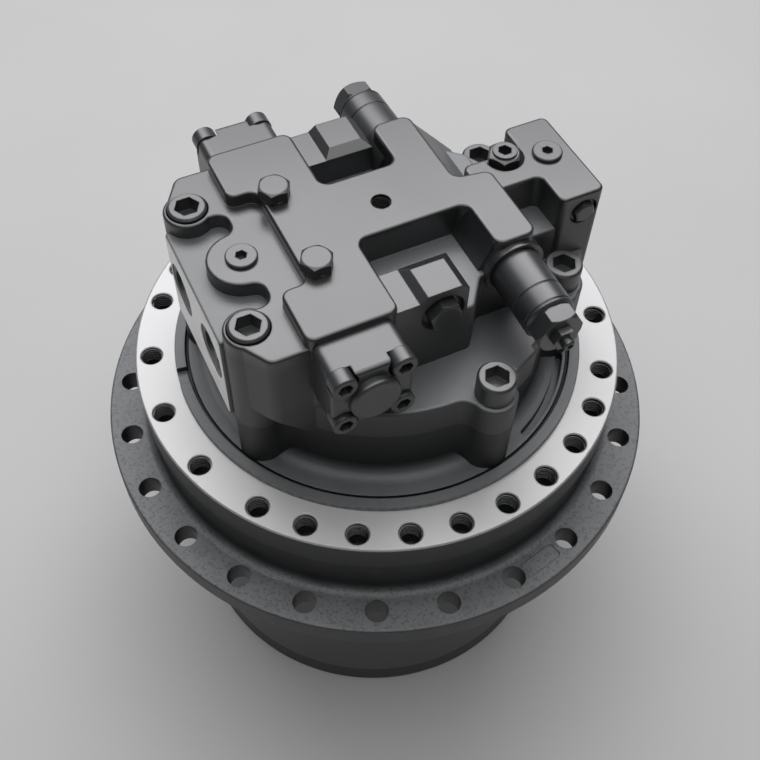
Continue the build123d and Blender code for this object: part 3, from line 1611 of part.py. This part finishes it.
fitting_key = 24.0
fitting_proud = 5.0
fitting_collar = 13.5
fitting_nose_radius = 9.6
fitting_nose_height = 2.0
fitting_socket = 10.0
fitting_nose_z = wing_z + fitting_proud
fitting_hex = hex_plug(
    fitting_key,
    fitting_pocket_depth + fitting_proud - plug_collar_height,
    fitting_collar,
    plug_collar_height,
    top_plug_thread,
    plug_thread_length,
)
with BuildPart() as drain_fitting:
    with Locations((*fitting_point, wing_z - fitting_pocket_depth)):
        add(fitting_hex)
    with BuildSketch(Plane((*fitting_point, fitting_nose_z))):
        Circle(fitting_nose_radius)
    extrude(amount=fitting_nose_height)
    with BuildSketch(Plane((*fitting_point, fitting_nose_z + fitting_nose_height))):
        RegularPolygon(fitting_socket / 2, 6, major_radius=False)
    extrude(amount=-fitting_socket, mode=Mode.SUBTRACT)
drain_fitting.part.label = "drain_fitting"
export_step(drain_fitting.part, "parts/drain_fitting.step")

# Relief valves: a cartridge, a lock nut and an adjusting screw at each end
relief_body_length = 55.0
relief_collar_edge = 4.0
relief_hex_key = 34.0
relief_hex_height = 14.0
relief_hex_edge = 2.5
relief_groove_places = [35.0, 51.0]
relief_groove = 0.7
nut_key = 17.0
nut_height = 6.0
adjuster_radius = 4.5
adjuster_reach = 6.0
adjuster_room = 20.0
adjuster_edge = 1.0
with BuildPart() as relief_hex:
    Cylinder(
        relief_hex_key / 2 / cos(pi / 6),
        relief_hex_height,
        align=(Align.CENTER, Align.CENTER, Align.MIN),
    )
    chamfer(relief_hex.edges().filter_by(GeomType.CIRCLE), relief_hex_edge)
    with BuildSketch():
        RegularPolygon(relief_hex_key / 2, 6, major_radius=False)
    extrude(amount=relief_hex_height, mode=Mode.INTERSECT)
with BuildPart() as relief_cartridge:
    Cylinder(relief_radius, relief_body_length, align=(Align.CENTER, Align.CENTER, Align.MIN))
    chamfer(relief_cartridge.edges().group_by(Axis.Z)[-1], relief_collar_edge / 2)
    fillet(relief_cartridge.edges().group_by(Axis.Z)[0], relief_collar_edge)
    Cylinder(relief_thread_radius, relief_seat_depth, align=(Align.CENTER, Align.CENTER, Align.MAX))
    with Locations((0, 0, relief_body_length)):
        add(relief_hex.part)
    with Locations(*[(0, 0, place) for place in relief_groove_places]):
        Torus(relief_radius, relief_groove, mode=Mode.SUBTRACT)
    with BuildSketch(Plane.XY.offset(relief_body_length + relief_hex_height)):
        Circle(adjuster_radius + seat_fit)
    extrude(amount=-adjuster_room - plug_end_gap, mode=Mode.SUBTRACT)
with BuildPart() as relief_valves:
    with Locations(*relief_planes):
        add(relief_cartridge.part)
relief_valves.part.label = "relief_valves"
export_step(relief_valves.part, "parts/relief_valves.step")

nut_z = relief_body_length + relief_hex_height
with BuildPart() as lock_nut:
    with BuildSketch(Plane.XY.offset(nut_z)):
        RegularPolygon(nut_key / 2, 6, major_radius=False)
        Circle(adjuster_radius + seat_fit, mode=Mode.SUBTRACT)
    extrude(amount=nut_height)
with BuildPart() as relief_lock_nuts:
    with Locations(*relief_planes):
        add(lock_nut.part)
relief_lock_nuts.part.label = "relief_lock_nuts"
export_step(relief_lock_nuts.part, "parts/relief_lock_nuts.step")

with BuildPart() as adjuster:
    with BuildSketch(Plane.XY.offset(nut_z - adjuster_room)):
        Circle(adjuster_radius)
    extrude(amount=adjuster_room + nut_height + adjuster_reach)
    chamfer(adjuster.edges().group_by(Axis.Z)[-1], adjuster_edge)
    with BuildSketch(Plane.XY.offset(nut_z + nut_height + adjuster_reach)):
        RegularPolygon(adjuster_radius / 2, 6, major_radius=False)
    extrude(amount=-adjuster_radius, mode=Mode.SUBTRACT)
with BuildPart() as relief_adjusters:
    with Locations(*relief_planes):
        add(adjuster.part)
relief_adjusters.part.label = "relief_adjusters"
export_step(relief_adjusters.part, "parts/relief_adjusters.step")
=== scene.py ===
# %% [markdown]
# This lesson dresses an excavator final drive: a travel motor and valve block on top of a turning
# sprocket hub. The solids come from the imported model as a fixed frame. Nothing here moves them. What is
# added is the finish of every surface, the threads, the rubber and the gaskets, a floor, soft light and a
# camera.

import json
from math import cos, pi, radians, sin

import bpy
from mathutils import Matrix, Vector


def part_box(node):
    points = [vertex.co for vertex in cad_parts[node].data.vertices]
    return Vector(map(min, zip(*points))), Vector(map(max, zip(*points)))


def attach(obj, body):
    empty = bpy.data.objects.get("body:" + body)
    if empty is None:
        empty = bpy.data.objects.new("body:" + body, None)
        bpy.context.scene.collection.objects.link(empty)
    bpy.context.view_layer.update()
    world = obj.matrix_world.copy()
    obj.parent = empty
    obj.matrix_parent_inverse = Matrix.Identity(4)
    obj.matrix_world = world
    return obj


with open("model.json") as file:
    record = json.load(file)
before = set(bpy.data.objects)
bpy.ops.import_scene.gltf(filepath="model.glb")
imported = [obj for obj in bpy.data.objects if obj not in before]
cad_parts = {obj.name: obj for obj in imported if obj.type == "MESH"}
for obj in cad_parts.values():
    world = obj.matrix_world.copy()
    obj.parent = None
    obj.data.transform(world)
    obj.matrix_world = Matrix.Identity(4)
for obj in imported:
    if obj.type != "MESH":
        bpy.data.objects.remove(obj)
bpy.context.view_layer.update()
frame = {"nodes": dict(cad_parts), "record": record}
nodes = frame["nodes"]
bpy.ops.object.select_all(action="DESELECT")

# %% [markdown]
# A finish is a small node tree. Writing it as nodes and links hides the idea, so one class wraps a socket
# and turns arithmetic into Math nodes.

# %% A socket that does arithmetic
class Wire:
    "One output socket of a tree. Arithmetic on it adds Math nodes."

    def __init__(self, sheet, socket):
        self.sheet = sheet
        self.socket = socket

    def math(self, operation, first, second):
        return self.sheet.node("ShaderNodeMath", {"operation": operation}, {0: first, 1: second})

    def __add__(self, other):
        return self.math("ADD", self, other)

    def __radd__(self, other):
        return self.math("ADD", other, self)

    def __sub__(self, other):
        return self.math("SUBTRACT", self, other)

    def __rsub__(self, other):
        return self.math("SUBTRACT", other, self)

    def __mul__(self, other):
        return self.math("MULTIPLY", self, other)

    def __rmul__(self, other):
        return self.math("MULTIPLY", other, self)

    def __pow__(self, other):
        return self.math("POWER", self, other)

    def __rpow__(self, other):
        return self.math("POWER", other, self)

    def above(self, edge, soft):
        "A mask that rises from 0 to 1 around an edge value."
        return self.sheet.node(
            "ShaderNodeMapRange",
            {"interpolation_type": "SMOOTHSTEP"},
            {"Value": self, "From Min": edge - soft, "From Max": edge + soft},
        )

    def below(self, edge, soft):
        return 1 - self.above(edge, soft)


# %% [markdown]
# Every other node is made by one method, which sets the node's own settings first and then its sockets.
# The short methods after it name the few nodes that the finishes of this drive are made of.

# %% A tree under construction
level_edge = 0.6
level_soft = 0.3


class Sheet:
    "A node tree and the shader that ends it."

    def __init__(self, owner, shader):
        owner.use_nodes = True
        self.owner = owner
        self.tree = owner.node_tree
        self.shader = self.tree.nodes[shader]

    def node(self, kind, settings, sockets, output=0):
        made = self.tree.nodes.new(kind)
        for name, value in settings.items():
            setattr(made, name, value)
        for key, value in sockets.items():
            self.feed(made.inputs[key], value)
        return Wire(self, made.outputs[output])

    def feed(self, socket, value):
        if isinstance(value, Wire):
            self.tree.links.new(value.socket, socket)
        else:
            socket.default_value = value

    def set(self, **sockets):
        for name, value in sockets.items():
            self.feed(self.shader.inputs[name.replace("_", " ")], value)

    def point(self):
        "The point on the object in metres."
        return self.node("ShaderNodeTexCoord", {}, {}, "Object")

    def axes(self, vector):
        return [self.node("ShaderNodeSeparateXYZ", {}, {0: vector}, axis) for axis in "XYZ"]

    def level(self):
        "A mask that is 1 on faces that look up."
        normal = self.node("ShaderNodeNewGeometry", {}, {}, "Normal")
        return self.axes(normal)[2].above(level_edge, level_soft)

    def noise(self, vector, scale, detail=4.0):
        sockets = {"Vector": vector, "Scale": scale, "Detail": detail}
        return self.node("ShaderNodeTexNoise", {}, sockets, "Fac")

    def blend(self, mask, first, second):
        "A colour between two colours."
        return self.node("ShaderNodeMix", {"data_type": "RGBA"}, {0: mask, 6: first, 7: second}, 2)

    def bump(self, height, strength, distance, radius):
        "A bump over normals that round the sharp edges of a solid."
        soft_edge = self.node("ShaderNodeBevel", {"samples": 4}, {"Radius": radius})
        sockets = {"Height": height, "Strength": strength, "Distance": distance, "Normal": soft_edge}
        return self.node("ShaderNodeBump", {}, sockets)


def finish_sheet(name):
    return Sheet(bpy.data.materials.new(name), "Principled BSDF")


def grey(level, tint=0.0):
    "An almost neutral colour, slightly bluer with the tint."
    return (level * (1 - tint), level, level * (1 + tint), 1.0)


# %% [markdown]
# Most of the outside is cast iron under satin black paint. Level faces mirror the light and look mid
# grey, upright faces mirror the shaded floor and look nearly black, so the paint is a dark colour with a
# clear gloss. Where the casting was left rough, a fine grain in the bump breaks the gloss, and the faces
# that look up get a paler colour, partly dust and partly a painted sheen that makes them lighter than the
# upright faces. A broad noise makes the film thicker and thinner everywhere. Cut and plated faces have
# the clearer gloss.

# %% Paint on castings
clear_gloss = 1.8
cast_gloss = 1.55
edge_radius = 0.0012
smooth_paint = (grey(0.012, 0.06), grey(0.022, 0.06))
# Paler colour for faces that look up on rough castings: partly dust, partly a painted sheen.
dust_and_painted_sheen_paint = (grey(0.075, 0.06), grey(0.120, 0.06))
film_size = 18.0
grain_size = 900.0
grain_depth = 0.0004
grain_strength = 0.5
paint_rough = 0.27
film_rough = 0.08
speck_rough = 0.04
cast_rough = 0.14


def paint_layers(sheet, point, rough_cast):
    """Colour, roughness and grain height of the paint, which is grainy on rough castings and paler on their faces
    that look up, partly dust and partly a painted sheen.
    """
    film = sheet.noise(point, film_size)
    speck = sheet.noise(point, grain_size, 3.0)
    smooth = sheet.blend(film, *smooth_paint)
    dust_and_sheen = sheet.blend(film, *dust_and_painted_sheen_paint)
    # Faces that look up on rough castings take the paler colour: dust and a painted sheen.
    colour = sheet.blend(rough_cast * sheet.level(), smooth, dust_and_sheen)
    rough = paint_rough + film * film_rough + speck * speck_rough + cast_rough * rough_cast
    return colour, rough, speck * rough_cast


def cast_paint(name, rough_cast, gloss, depth):
    sheet = finish_sheet(name)
    colour, rough, speck = paint_layers(sheet, sheet.point(), rough_cast)
    normal = sheet.bump(speck, grain_strength, depth, edge_radius)
    sheet.set(Base_Color=colour, Roughness=rough, Normal=normal, IOR=gloss)
    return sheet.owner


# %% [markdown]
# The hub's flange carries the roughest paint: the casting below it is pitted, and the film has run thin
# in blotches. Pits are the dark ends of one noise, so a mask cuts them out and only they get depth, and
# their colour is darkened as a painted shade in the hollows.

# %% Pitted paint on the hub
blotch_size = 34.0
blotch_edge = 0.48
blotch_soft = 0.2
pit_size = 420.0
pit_edge = 0.42
pit_soft = 0.08
pit_shade = 0.5
pit_painted_shade_colour = grey(0.012)


def pitted_paint(name, depth):
    sheet = finish_sheet(name)
    point = sheet.point()
    blotch = sheet.noise(point, blotch_size).above(blotch_edge, blotch_soft)
    colour, rough, speck = paint_layers(sheet, point, 0.7 + 0.3 * blotch)
    pits = sheet.noise(point, pit_size, 2.0).below(pit_edge, pit_soft)
    sheet.set(
        # The pits are darkened towards the pit colour: a painted shade in the hollows.
        Base_Color=sheet.blend(pits * pit_shade, colour, pit_painted_shade_colour),
        Roughness=rough,
        Normal=sheet.bump(speck * 0.6 - pits * 0.5, grain_strength, depth, edge_radius),
        IOR=cast_gloss,
    )
    return sheet.owner


# %% [markdown]
# The frame ring and the hose face are bare machined steel on painted castings. The edge of the bare metal
# follows a cut, not a seam, so the mask comes from the place on the object: a height and a radius for the
# ring, a distance along X for the hose face. The tool leaves fine marks, round on the ring and straight
# on the hose face. The grain of the casting must not show through the cut metal, so the mask also chooses
# between the two heights of the bump.

# %% Bare machined steel on a painted casting
frame_face_z = 0.332
frame_ring_inner = 0.1715
frame_ring_edge = 0.0014
port_face_x = -0.151
machined_z = 0.468
machined_soft = 0.006
mask_soft = 0.0003
mark_pitch = 2600.0
mark_height = 0.08
mark_rough = 0.10
stain_size = 9.0
stain_rough = 0.06
cut_rough = 0.52
ring_steel = (grey(0.42), grey(0.50))
port_steel = (grey(0.78), grey(0.88))


def radius_wire(axes):
    return (axes[0] * axes[0] + axes[1] * axes[1]) ** 0.5


def ring_mask(axes):
    outside_pilot = radius_wire(axes).above(frame_ring_inner, mask_soft)
    return outside_pilot * axes[2].above(frame_face_z - frame_ring_edge, mask_soft)


def port_mask(axes):
    return axes[0].below(port_face_x + 2 * mask_soft, mask_soft)


def all_cast(axes):
    return 1.0


def below_machined(axes):
    return axes[2].below(machined_z, machined_soft)


def across(axes):
    return axes[1]


def painted_with_bare(name, bare_mask, along, rough_cast, steel, gloss):
    "Paint everywhere except where the mask is 1, with grain only where the casting is rough."
    sheet = finish_sheet(name)
    point = sheet.point()
    axes = sheet.axes(point)
    colour, rough, speck = paint_layers(sheet, point, rough_cast(axes))
    marks = sheet.noise(sheet.node("ShaderNodeCombineXYZ", {}, {0: along(axes) * mark_pitch}), 1.0, 2.0)
    stain = sheet.noise(point, stain_size)
    bare = bare_mask(axes)
    painted = 1 - bare
    steel_rough = cut_rough + marks * mark_rough + stain * stain_rough
    sheet.set(
        Base_Color=sheet.blend(bare, colour, sheet.blend(stain, *steel)),
        Roughness=rough * painted + steel_rough * bare,
        Metallic=bare,
        Normal=sheet.bump(speck * painted + marks * bare * mark_height, grain_strength, grain_depth, edge_radius),
        IOR=gloss,
    )
    return sheet.owner


# %% [markdown]
# Inside are gears, pins, bearings and discs that only show when the drive is opened. They still get true
# finishes: ground steel, hardened steel, bronze, raw cast iron and rubber.

# %% Finishes of the inside
metal_stain_size = 14.0
scratch_depth = 0.00008
rubber_bloom_size = 60.0
rubber_grain_depth = 0.00005


def metal(name, low, high, rough, wear, marks):
    "A metal with a broad stain, a fine scratch and rounded edges."
    sheet = finish_sheet(name)
    point = sheet.point()
    stain = sheet.noise(point, metal_stain_size)
    fine = sheet.noise(point, marks, 2.0)
    sheet.set(
        Base_Color=sheet.blend(stain, low, high),
        Roughness=rough + wear * fine,
        Metallic=1.0,
        Normal=sheet.bump(fine, 0.25, scratch_depth, edge_radius / 3),
    )
    return sheet.owner


def rubber(name):
    sheet = finish_sheet(name)
    point = sheet.point()
    bloom = sheet.noise(point, rubber_bloom_size)
    sheet.set(
        Base_Color=sheet.blend(bloom, grey(0.012), grey(0.03)),
        Roughness=0.55 + bloom * 0.25,
        Normal=sheet.bump(sheet.noise(point, grain_size), 0.3, rubber_grain_depth, edge_radius / 3),
    )
    return sheet.owner


bronze_colours = ((0.5, 0.33, 0.13, 1), (0.62, 0.43, 0.2, 1))
finishes = {
    "cast": cast_paint("satin_paint_on_casting", 1.0, cast_gloss, 0.0003),
    "pitted": pitted_paint("pitted_paint_on_hub", 0.0003),
    "fastener": cast_paint("satin_paint_on_fastener", 0.2, clear_gloss, 0.0001),
    "case": painted_with_bare("painted_case_bare_ring", ring_mask, radius_wire, all_cast, ring_steel, cast_gloss),
    "block": painted_with_bare(
        "painted_block_bare_face", port_mask, across, below_machined, port_steel, clear_gloss
    ),
    "ground": metal("ground_steel", grey(0.5), grey(0.62), rough=0.2, wear=0.12, marks=1400.0),
    "hard": metal("hardened_steel", grey(0.2, 0.02), grey(0.3, 0.02), rough=0.3, wear=0.15, marks=900.0),
    "iron": metal("raw_cast_iron", grey(0.09), grey(0.16), rough=0.5, wear=0.2, marks=500.0),
    "bronze": metal("bearing_bronze", *bronze_colours, rough=0.28, wear=0.15, marks=900.0),
    "rubber": rubber("seal_rubber"),
}
print("finishes", sorted(finishes))

# %% Give every node its finish
slot_finish = {
    "painted_casting": "cast",
    "painted_steel": "fastener",
    "ground_steel": "ground",
    "hard_steel": "hard",
    "cast_inside": "iron",
    "bearing_bronze": "bronze",
    "seal_rubber": "rubber",
}
own_finish = {
    "motor_case": "case",
    "valve_block": "block",
    "hub": "pitted",
    "spool_cap_front": "fastener",
    "spool_cap_back": "fastener",
}
node_slots = {part["node"]: part["material_slot"] for part in frame["record"]["subparts"]}
for name, node in nodes.items():
    finish = own_finish.get(name, slot_finish[node_slots[name]])
    node.data.materials.clear()
    node.data.materials.append(finishes[finish])
print("finished nodes", len(nodes))

# %% [markdown]
# The solids have plain holes where the real ones are tapped. A thread is one triangle swept along a screw
# line, so the Screw modifier makes it from a circle of three corners. The base of the triangle lies just
# inside the wall and its tip stands in the hole. One ridge is modelled at the origin, then copied to
# every hole and joined.

# %% A thread ridge and its copies
ridge_steps = 20
ridge_share = 0.32
wall_bite = 0.0001


def thread_ridge(name, bore, pitch, turns, tip_turn):
    "A screw-shaped ridge up Z from the origin. The tip turn is -1 for a hole and 1 for a stud."
    height = ridge_share * pitch
    middle = bore + tip_turn * (height / 2 - wall_bite)
    bpy.ops.object.select_all(action="DESELECT")
    bpy.ops.mesh.primitive_circle_add(
        vertices=3, radius=height, location=(middle, 0, 0), rotation=(pi / 2, tip_turn * pi / 2, 0)
    )
    ridge = bpy.context.object
    ridge.name = name
    bpy.ops.object.transform_apply(location=True, rotation=True, scale=True)
    sweep = ridge.modifiers.new("sweep", "SCREW")
    sweep.axis = "Z"
    sweep.angle = 2 * pi
    sweep.screw_offset = pitch
    sweep.iterations = turns
    sweep.steps = ridge_steps
    sweep.render_steps = ridge_steps
    bpy.ops.object.modifier_apply(modifier="sweep")
    bpy.ops.object.mode_set(mode="EDIT")
    bpy.ops.mesh.select_all(action="SELECT")
    bpy.ops.mesh.fill_holes(sides=3)
    bpy.ops.mesh.select_all(action="SELECT")
    bpy.ops.mesh.normals_make_consistent(inside=False)
    bpy.ops.object.mode_set(mode="OBJECT")
    return ridge


def copy_to(piece, places):
    "Copies of a piece at each place, joined into the piece's own mesh."
    group = [piece]
    for place in places[1:]:
        bpy.ops.object.select_all(action="DESELECT")
        piece.select_set(True)
        bpy.context.view_layer.objects.active = piece
        bpy.ops.object.duplicate()
        group.append(bpy.context.object)
    bpy.ops.object.select_all(action="DESELECT")
    for copy, place in zip(group, places):
        copy.matrix_world = place
        copy.select_set(True)
    bpy.context.view_layer.objects.active = piece
    bpy.ops.object.join()
    bpy.ops.object.transform_apply(location=True, rotation=True, scale=True)


def dress(piece, finish, body):
    piece.data.materials.clear()
    piece.data.materials.append(finishes[finish])
    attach(piece, body)
    print(piece.name, len(piece.data.polygons), "faces")


# %% Threads in the frame ring
mm = 0.001
frame_hole_circle = 191.2 * mm
frame_hole_angles = [0, 18, 36, 48, 60, 72, 84, 96, 108, 120, 132, 144, 162, 180]
frame_hole_turns = 6
frame_thread_top = frame_face_z - 2.2 * mm
frame_thread_pitch = 2.5 * mm
ring_angles = frame_hole_angles + [-angle for angle in frame_hole_angles[1:-1]]
hole_places = [
    Matrix.Rotation(radians(angle), 4, "Z")
    @ Matrix.Translation((frame_hole_circle, 0, frame_thread_top - frame_hole_turns * frame_thread_pitch))
    for angle in ring_angles
]
frame_threads = thread_ridge("frame_hole_threads", 8.75 * mm, frame_thread_pitch, frame_hole_turns, -1)
copy_to(frame_threads, hole_places)
dress(frame_threads, "hard", "housing")

# %% [markdown]
# The lifting hole in the block's top and the two hose ports are tapped as well, with their own pitches.
# The ports lie along X, so their places carry a quarter turn.

# %% Threads in the block
lifting_turns = 7
lifting_pitch = 2.0 * mm
lifting_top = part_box("valve_block")[1][2] - 2 * mm
lifting_thread = thread_ridge("lifting_hole_thread", 7.6 * mm, lifting_pitch, lifting_turns, -1)
copy_to(lifting_thread, [Matrix.Translation((0, 0, lifting_top - lifting_turns * lifting_pitch))])
dress(lifting_thread, "fastener", "housing")

port_turns = 9
port_pitch = 2.0 * mm
port_start = port_face_x + 4 * mm
port_z = frame_face_z + 97.0 * mm
port_half_spacing = 32.0 * mm
port_places = [
    Matrix.Translation((port_start, side * port_half_spacing, port_z)) @ Matrix.Rotation(pi / 2, 4, "Y")
    for side in (-1, 1)
]
port_threads = thread_ridge("port_threads", 15.3 * mm, port_pitch, port_turns, -1)
copy_to(port_threads, port_places)
dress(port_threads, "ground", "housing")

# %% [markdown]
# A rubber ring lies in the groove inside the pilot. Its section is a circle of twelve corners. In edit
# mode the section is flattened a little, as rubber is in its groove, and then spun once around the drive
# axis.

# %% Rubber ring in the pilot groove
groove_middle = 161.5 * mm
groove_ring_z = frame_face_z - 0.6 * mm
groove_ring_radius = 1.45 * mm
groove_ring_squeeze = 1.15
groove_ring_steps = 144
merge_gap = 0.01 * mm
bpy.ops.object.select_all(action="DESELECT")
bpy.ops.mesh.primitive_circle_add(
    vertices=12, radius=groove_ring_radius, location=(groove_middle, 0, groove_ring_z), rotation=(pi / 2, 0, 0)
)
groove_ring = bpy.context.object
groove_ring.name = "pilot_rubber_ring"
bpy.ops.object.transform_apply(location=True, rotation=True, scale=True)
bpy.ops.object.mode_set(mode="EDIT")
bpy.ops.mesh.select_all(action="SELECT")
bpy.ops.transform.resize(value=(1, 1, groove_ring_squeeze), center_override=(groove_middle, 0, groove_ring_z))
bpy.ops.mesh.spin(steps=groove_ring_steps, angle=2 * pi, center=(0, 0, 0), axis=(0, 0, 1))
bpy.ops.mesh.select_all(action="SELECT")
bpy.ops.mesh.remove_doubles(threshold=merge_gap)
bpy.ops.mesh.normals_make_consistent(inside=False)
bpy.ops.object.mode_set(mode="OBJECT")
bpy.ops.object.shade_smooth()
dress(groove_ring, "rubber", "housing")

# %% [markdown]
# Each spool cap closes on a gasket. Only its edge shows, as a dark line around the cap, so a frame is
# enough: a plane at the joint, its corners rounded, inset to a frame, and given its thickness. One is
# made and copied to the back.

# %% Gaskets of the spool caps
gasket_thickness = 1.0 * mm
gasket_setback = 0.4 * mm
gasket_width = 5.0 * mm
cap_corner = 7.0 * mm
cap_low, cap_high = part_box("spool_cap_front")
joint_y = cap_high[1]
cap_middle = Vector(((cap_low[0] + cap_high[0]) / 2, 0, (cap_low[2] + cap_high[2]) / 2))
gasket_size = [cap_high[axis] - cap_low[axis] - 2 * gasket_setback for axis in (0, 2)]
bpy.ops.object.select_all(action="DESELECT")
bpy.ops.mesh.primitive_plane_add(size=1, rotation=(pi / 2, 0, 0))
gaskets = bpy.context.object
gaskets.name = "spool_cap_gaskets"
gaskets.scale = (gasket_size[0], gasket_size[1], 1)
bpy.ops.object.transform_apply(location=True, rotation=True, scale=True)
bpy.ops.object.mode_set(mode="EDIT")
bpy.ops.mesh.select_all(action="SELECT")
bpy.ops.mesh.bevel(offset=cap_corner, segments=5, affect="VERTICES")
bpy.ops.mesh.select_all(action="SELECT")
bpy.ops.mesh.inset(thickness=gasket_width)
bpy.ops.mesh.delete(type="FACE")
bpy.ops.object.mode_set(mode="OBJECT")
sheet_wall = gaskets.modifiers.new("wall", "SOLIDIFY")
sheet_wall.thickness = gasket_thickness
sheet_wall.offset = 0
bpy.ops.object.modifier_apply(modifier="wall")
gasket_places = [Matrix.Translation((cap_middle.x, side * joint_y, cap_middle.z)) for side in (1, -1)]
copy_to(gaskets, gasket_places)
dress(gaskets, "rubber", "housing")

# %% [markdown]
# The adjusting screw of each relief valve has a fine thread between its lock nut and its tip. It is the
# same ridge as in the holes, turned outwards, and its place is read from the tip of the screw and the
# small tilt of the valve.

# %% Threads on the adjusting screws
stud_radius = 4.5 * mm
stud_pitch = 1.25 * mm
stud_turns = 3
stud_tip_gap = 1.6 * mm
relief_tilt = radians(2.5)
relief_reach = 81.0 * mm
relief_seats = [Vector((73.0, -74.0, 460.0)) * mm, Vector((46.0, 79.0, 460.0)) * mm]
stud_places = []
for seat in relief_seats:
    side = 1 if seat.y > 0 else -1
    outwards = Vector((0, side * cos(relief_tilt), -sin(relief_tilt)))
    start = seat + outwards * (relief_reach - stud_tip_gap - stud_turns * stud_pitch)
    stud_places.append(Matrix.Translation(start) @ outwards.to_track_quat("Z", "X").to_matrix().to_4x4())
stud_threads = thread_ridge("adjuster_threads", stud_radius, stud_pitch, stud_turns, 1)
copy_to(stud_threads, stud_places)
dress(stud_threads, "fastener", "housing")

# %% [markdown]
# The scene stays plain: a pale floor that runs out of sight and a surround that is dim at the sides and
# light overhead, as under a roof window. One large soft lamp stands behind the drive, where the level
# faces mirror it towards the camera and the upright faces do not.

# %% Floor
floor_size = 12.0
floor_patch = 3.0
floor_greys = (grey(0.39), grey(0.43))
bpy.ops.object.select_all(action="DESELECT")
bpy.ops.mesh.primitive_plane_add(size=floor_size, location=(0, 0, 0))
floor = bpy.context.object
floor.name = "floor"
floor_sheet = finish_sheet("pale_floor")
floor_tone = floor_sheet.noise(floor_sheet.point(), floor_patch)
floor_sheet.set(Base_Color=floor_sheet.blend(floor_tone, *floor_greys), Roughness=0.8)
floor.data.materials.append(floor_sheet.owner)

# %% Light
scene = bpy.context.scene
scene.view_settings.view_transform = "Standard"
scene.world = bpy.data.worlds.new("roof_window")
surround = Sheet(scene.world, "Background")
direction = surround.node("ShaderNodeTexCoord", {}, {}, "Generated")
rise = surround.axes(direction)[2]
wall_light = 0.06
roof_light = 2.1
roof_edge = 0.80
roof_soft = 0.08
surround.set(Color=(1, 1, 1, 1), Strength=wall_light + roof_light * rise.above(roof_edge, roof_soft))

lamp_aim = Vector((0, 0, 0.42))
lamp_azimuth = Vector((0.32, 0.947, 0))
lamp_height = radians(51.0)
lamp_distance = 2.2
lamp_direction = cos(lamp_height) * lamp_azimuth + sin(lamp_height) * Vector((0, 0, 1))
lamp_place = lamp_aim + lamp_distance * lamp_direction
lamp_data = bpy.data.lights.new("soft_lamp", "AREA")
lamp_data.shape = "RECTANGLE"
lamp_data.size = 3.2
lamp_data.size_y = 0.94
lamp_data.energy = 46.0
lamp_data.color = (0.98, 0.97, 1.0)
lamp = bpy.data.objects.new("soft_lamp", lamp_data)
lamp.location = lamp_place
lamp.rotation_euler = (lamp_aim - lamp_place).to_track_quat("-Z", "Y").to_euler()
scene.collection.objects.link(lamp)
print("lamp", [round(value, 3) for value in lamp_place])

# %% [markdown]
# The camera stands where the photograph was taken from. Its place was worked out from the ellipses of the
# frame ring, so the lens and the small shift belong to it.

# %% Camera
camera_place = Vector((-0.25115, -0.49583, 1.03136))
camera_forward = Vector((0.2624, 0.5242, -0.8102)).normalized()
camera_roll = radians(1.435)
picture_width = 760.0
focal_pixels = 1042.35
axis_pixel = (373.0, 381.5)
sensor_width = 36.0
level_right = camera_forward.cross(Vector((0, 0, 1))).normalized()
level_up = level_right.cross(camera_forward)
right = cos(camera_roll) * level_right + sin(camera_roll) * level_up
up = cos(camera_roll) * level_up - sin(camera_roll) * level_right
camera_data = bpy.data.cameras.new("camera")
camera_data.sensor_width = sensor_width
camera_data.lens = focal_pixels / picture_width * sensor_width
camera_data.shift_x = (picture_width / 2 - axis_pixel[0]) / picture_width
camera_data.shift_y = (axis_pixel[1] - picture_width / 2) / picture_width
camera = bpy.data.objects.new("camera", camera_data)
camera_turn = Matrix((right, up, -camera_forward)).transposed()
camera.matrix_world = Matrix.Translation(camera_place) @ camera_turn.to_4x4()
scene.collection.objects.link(camera)
scene.camera = camera
print("camera", [round(value, 3) for value in camera_place])
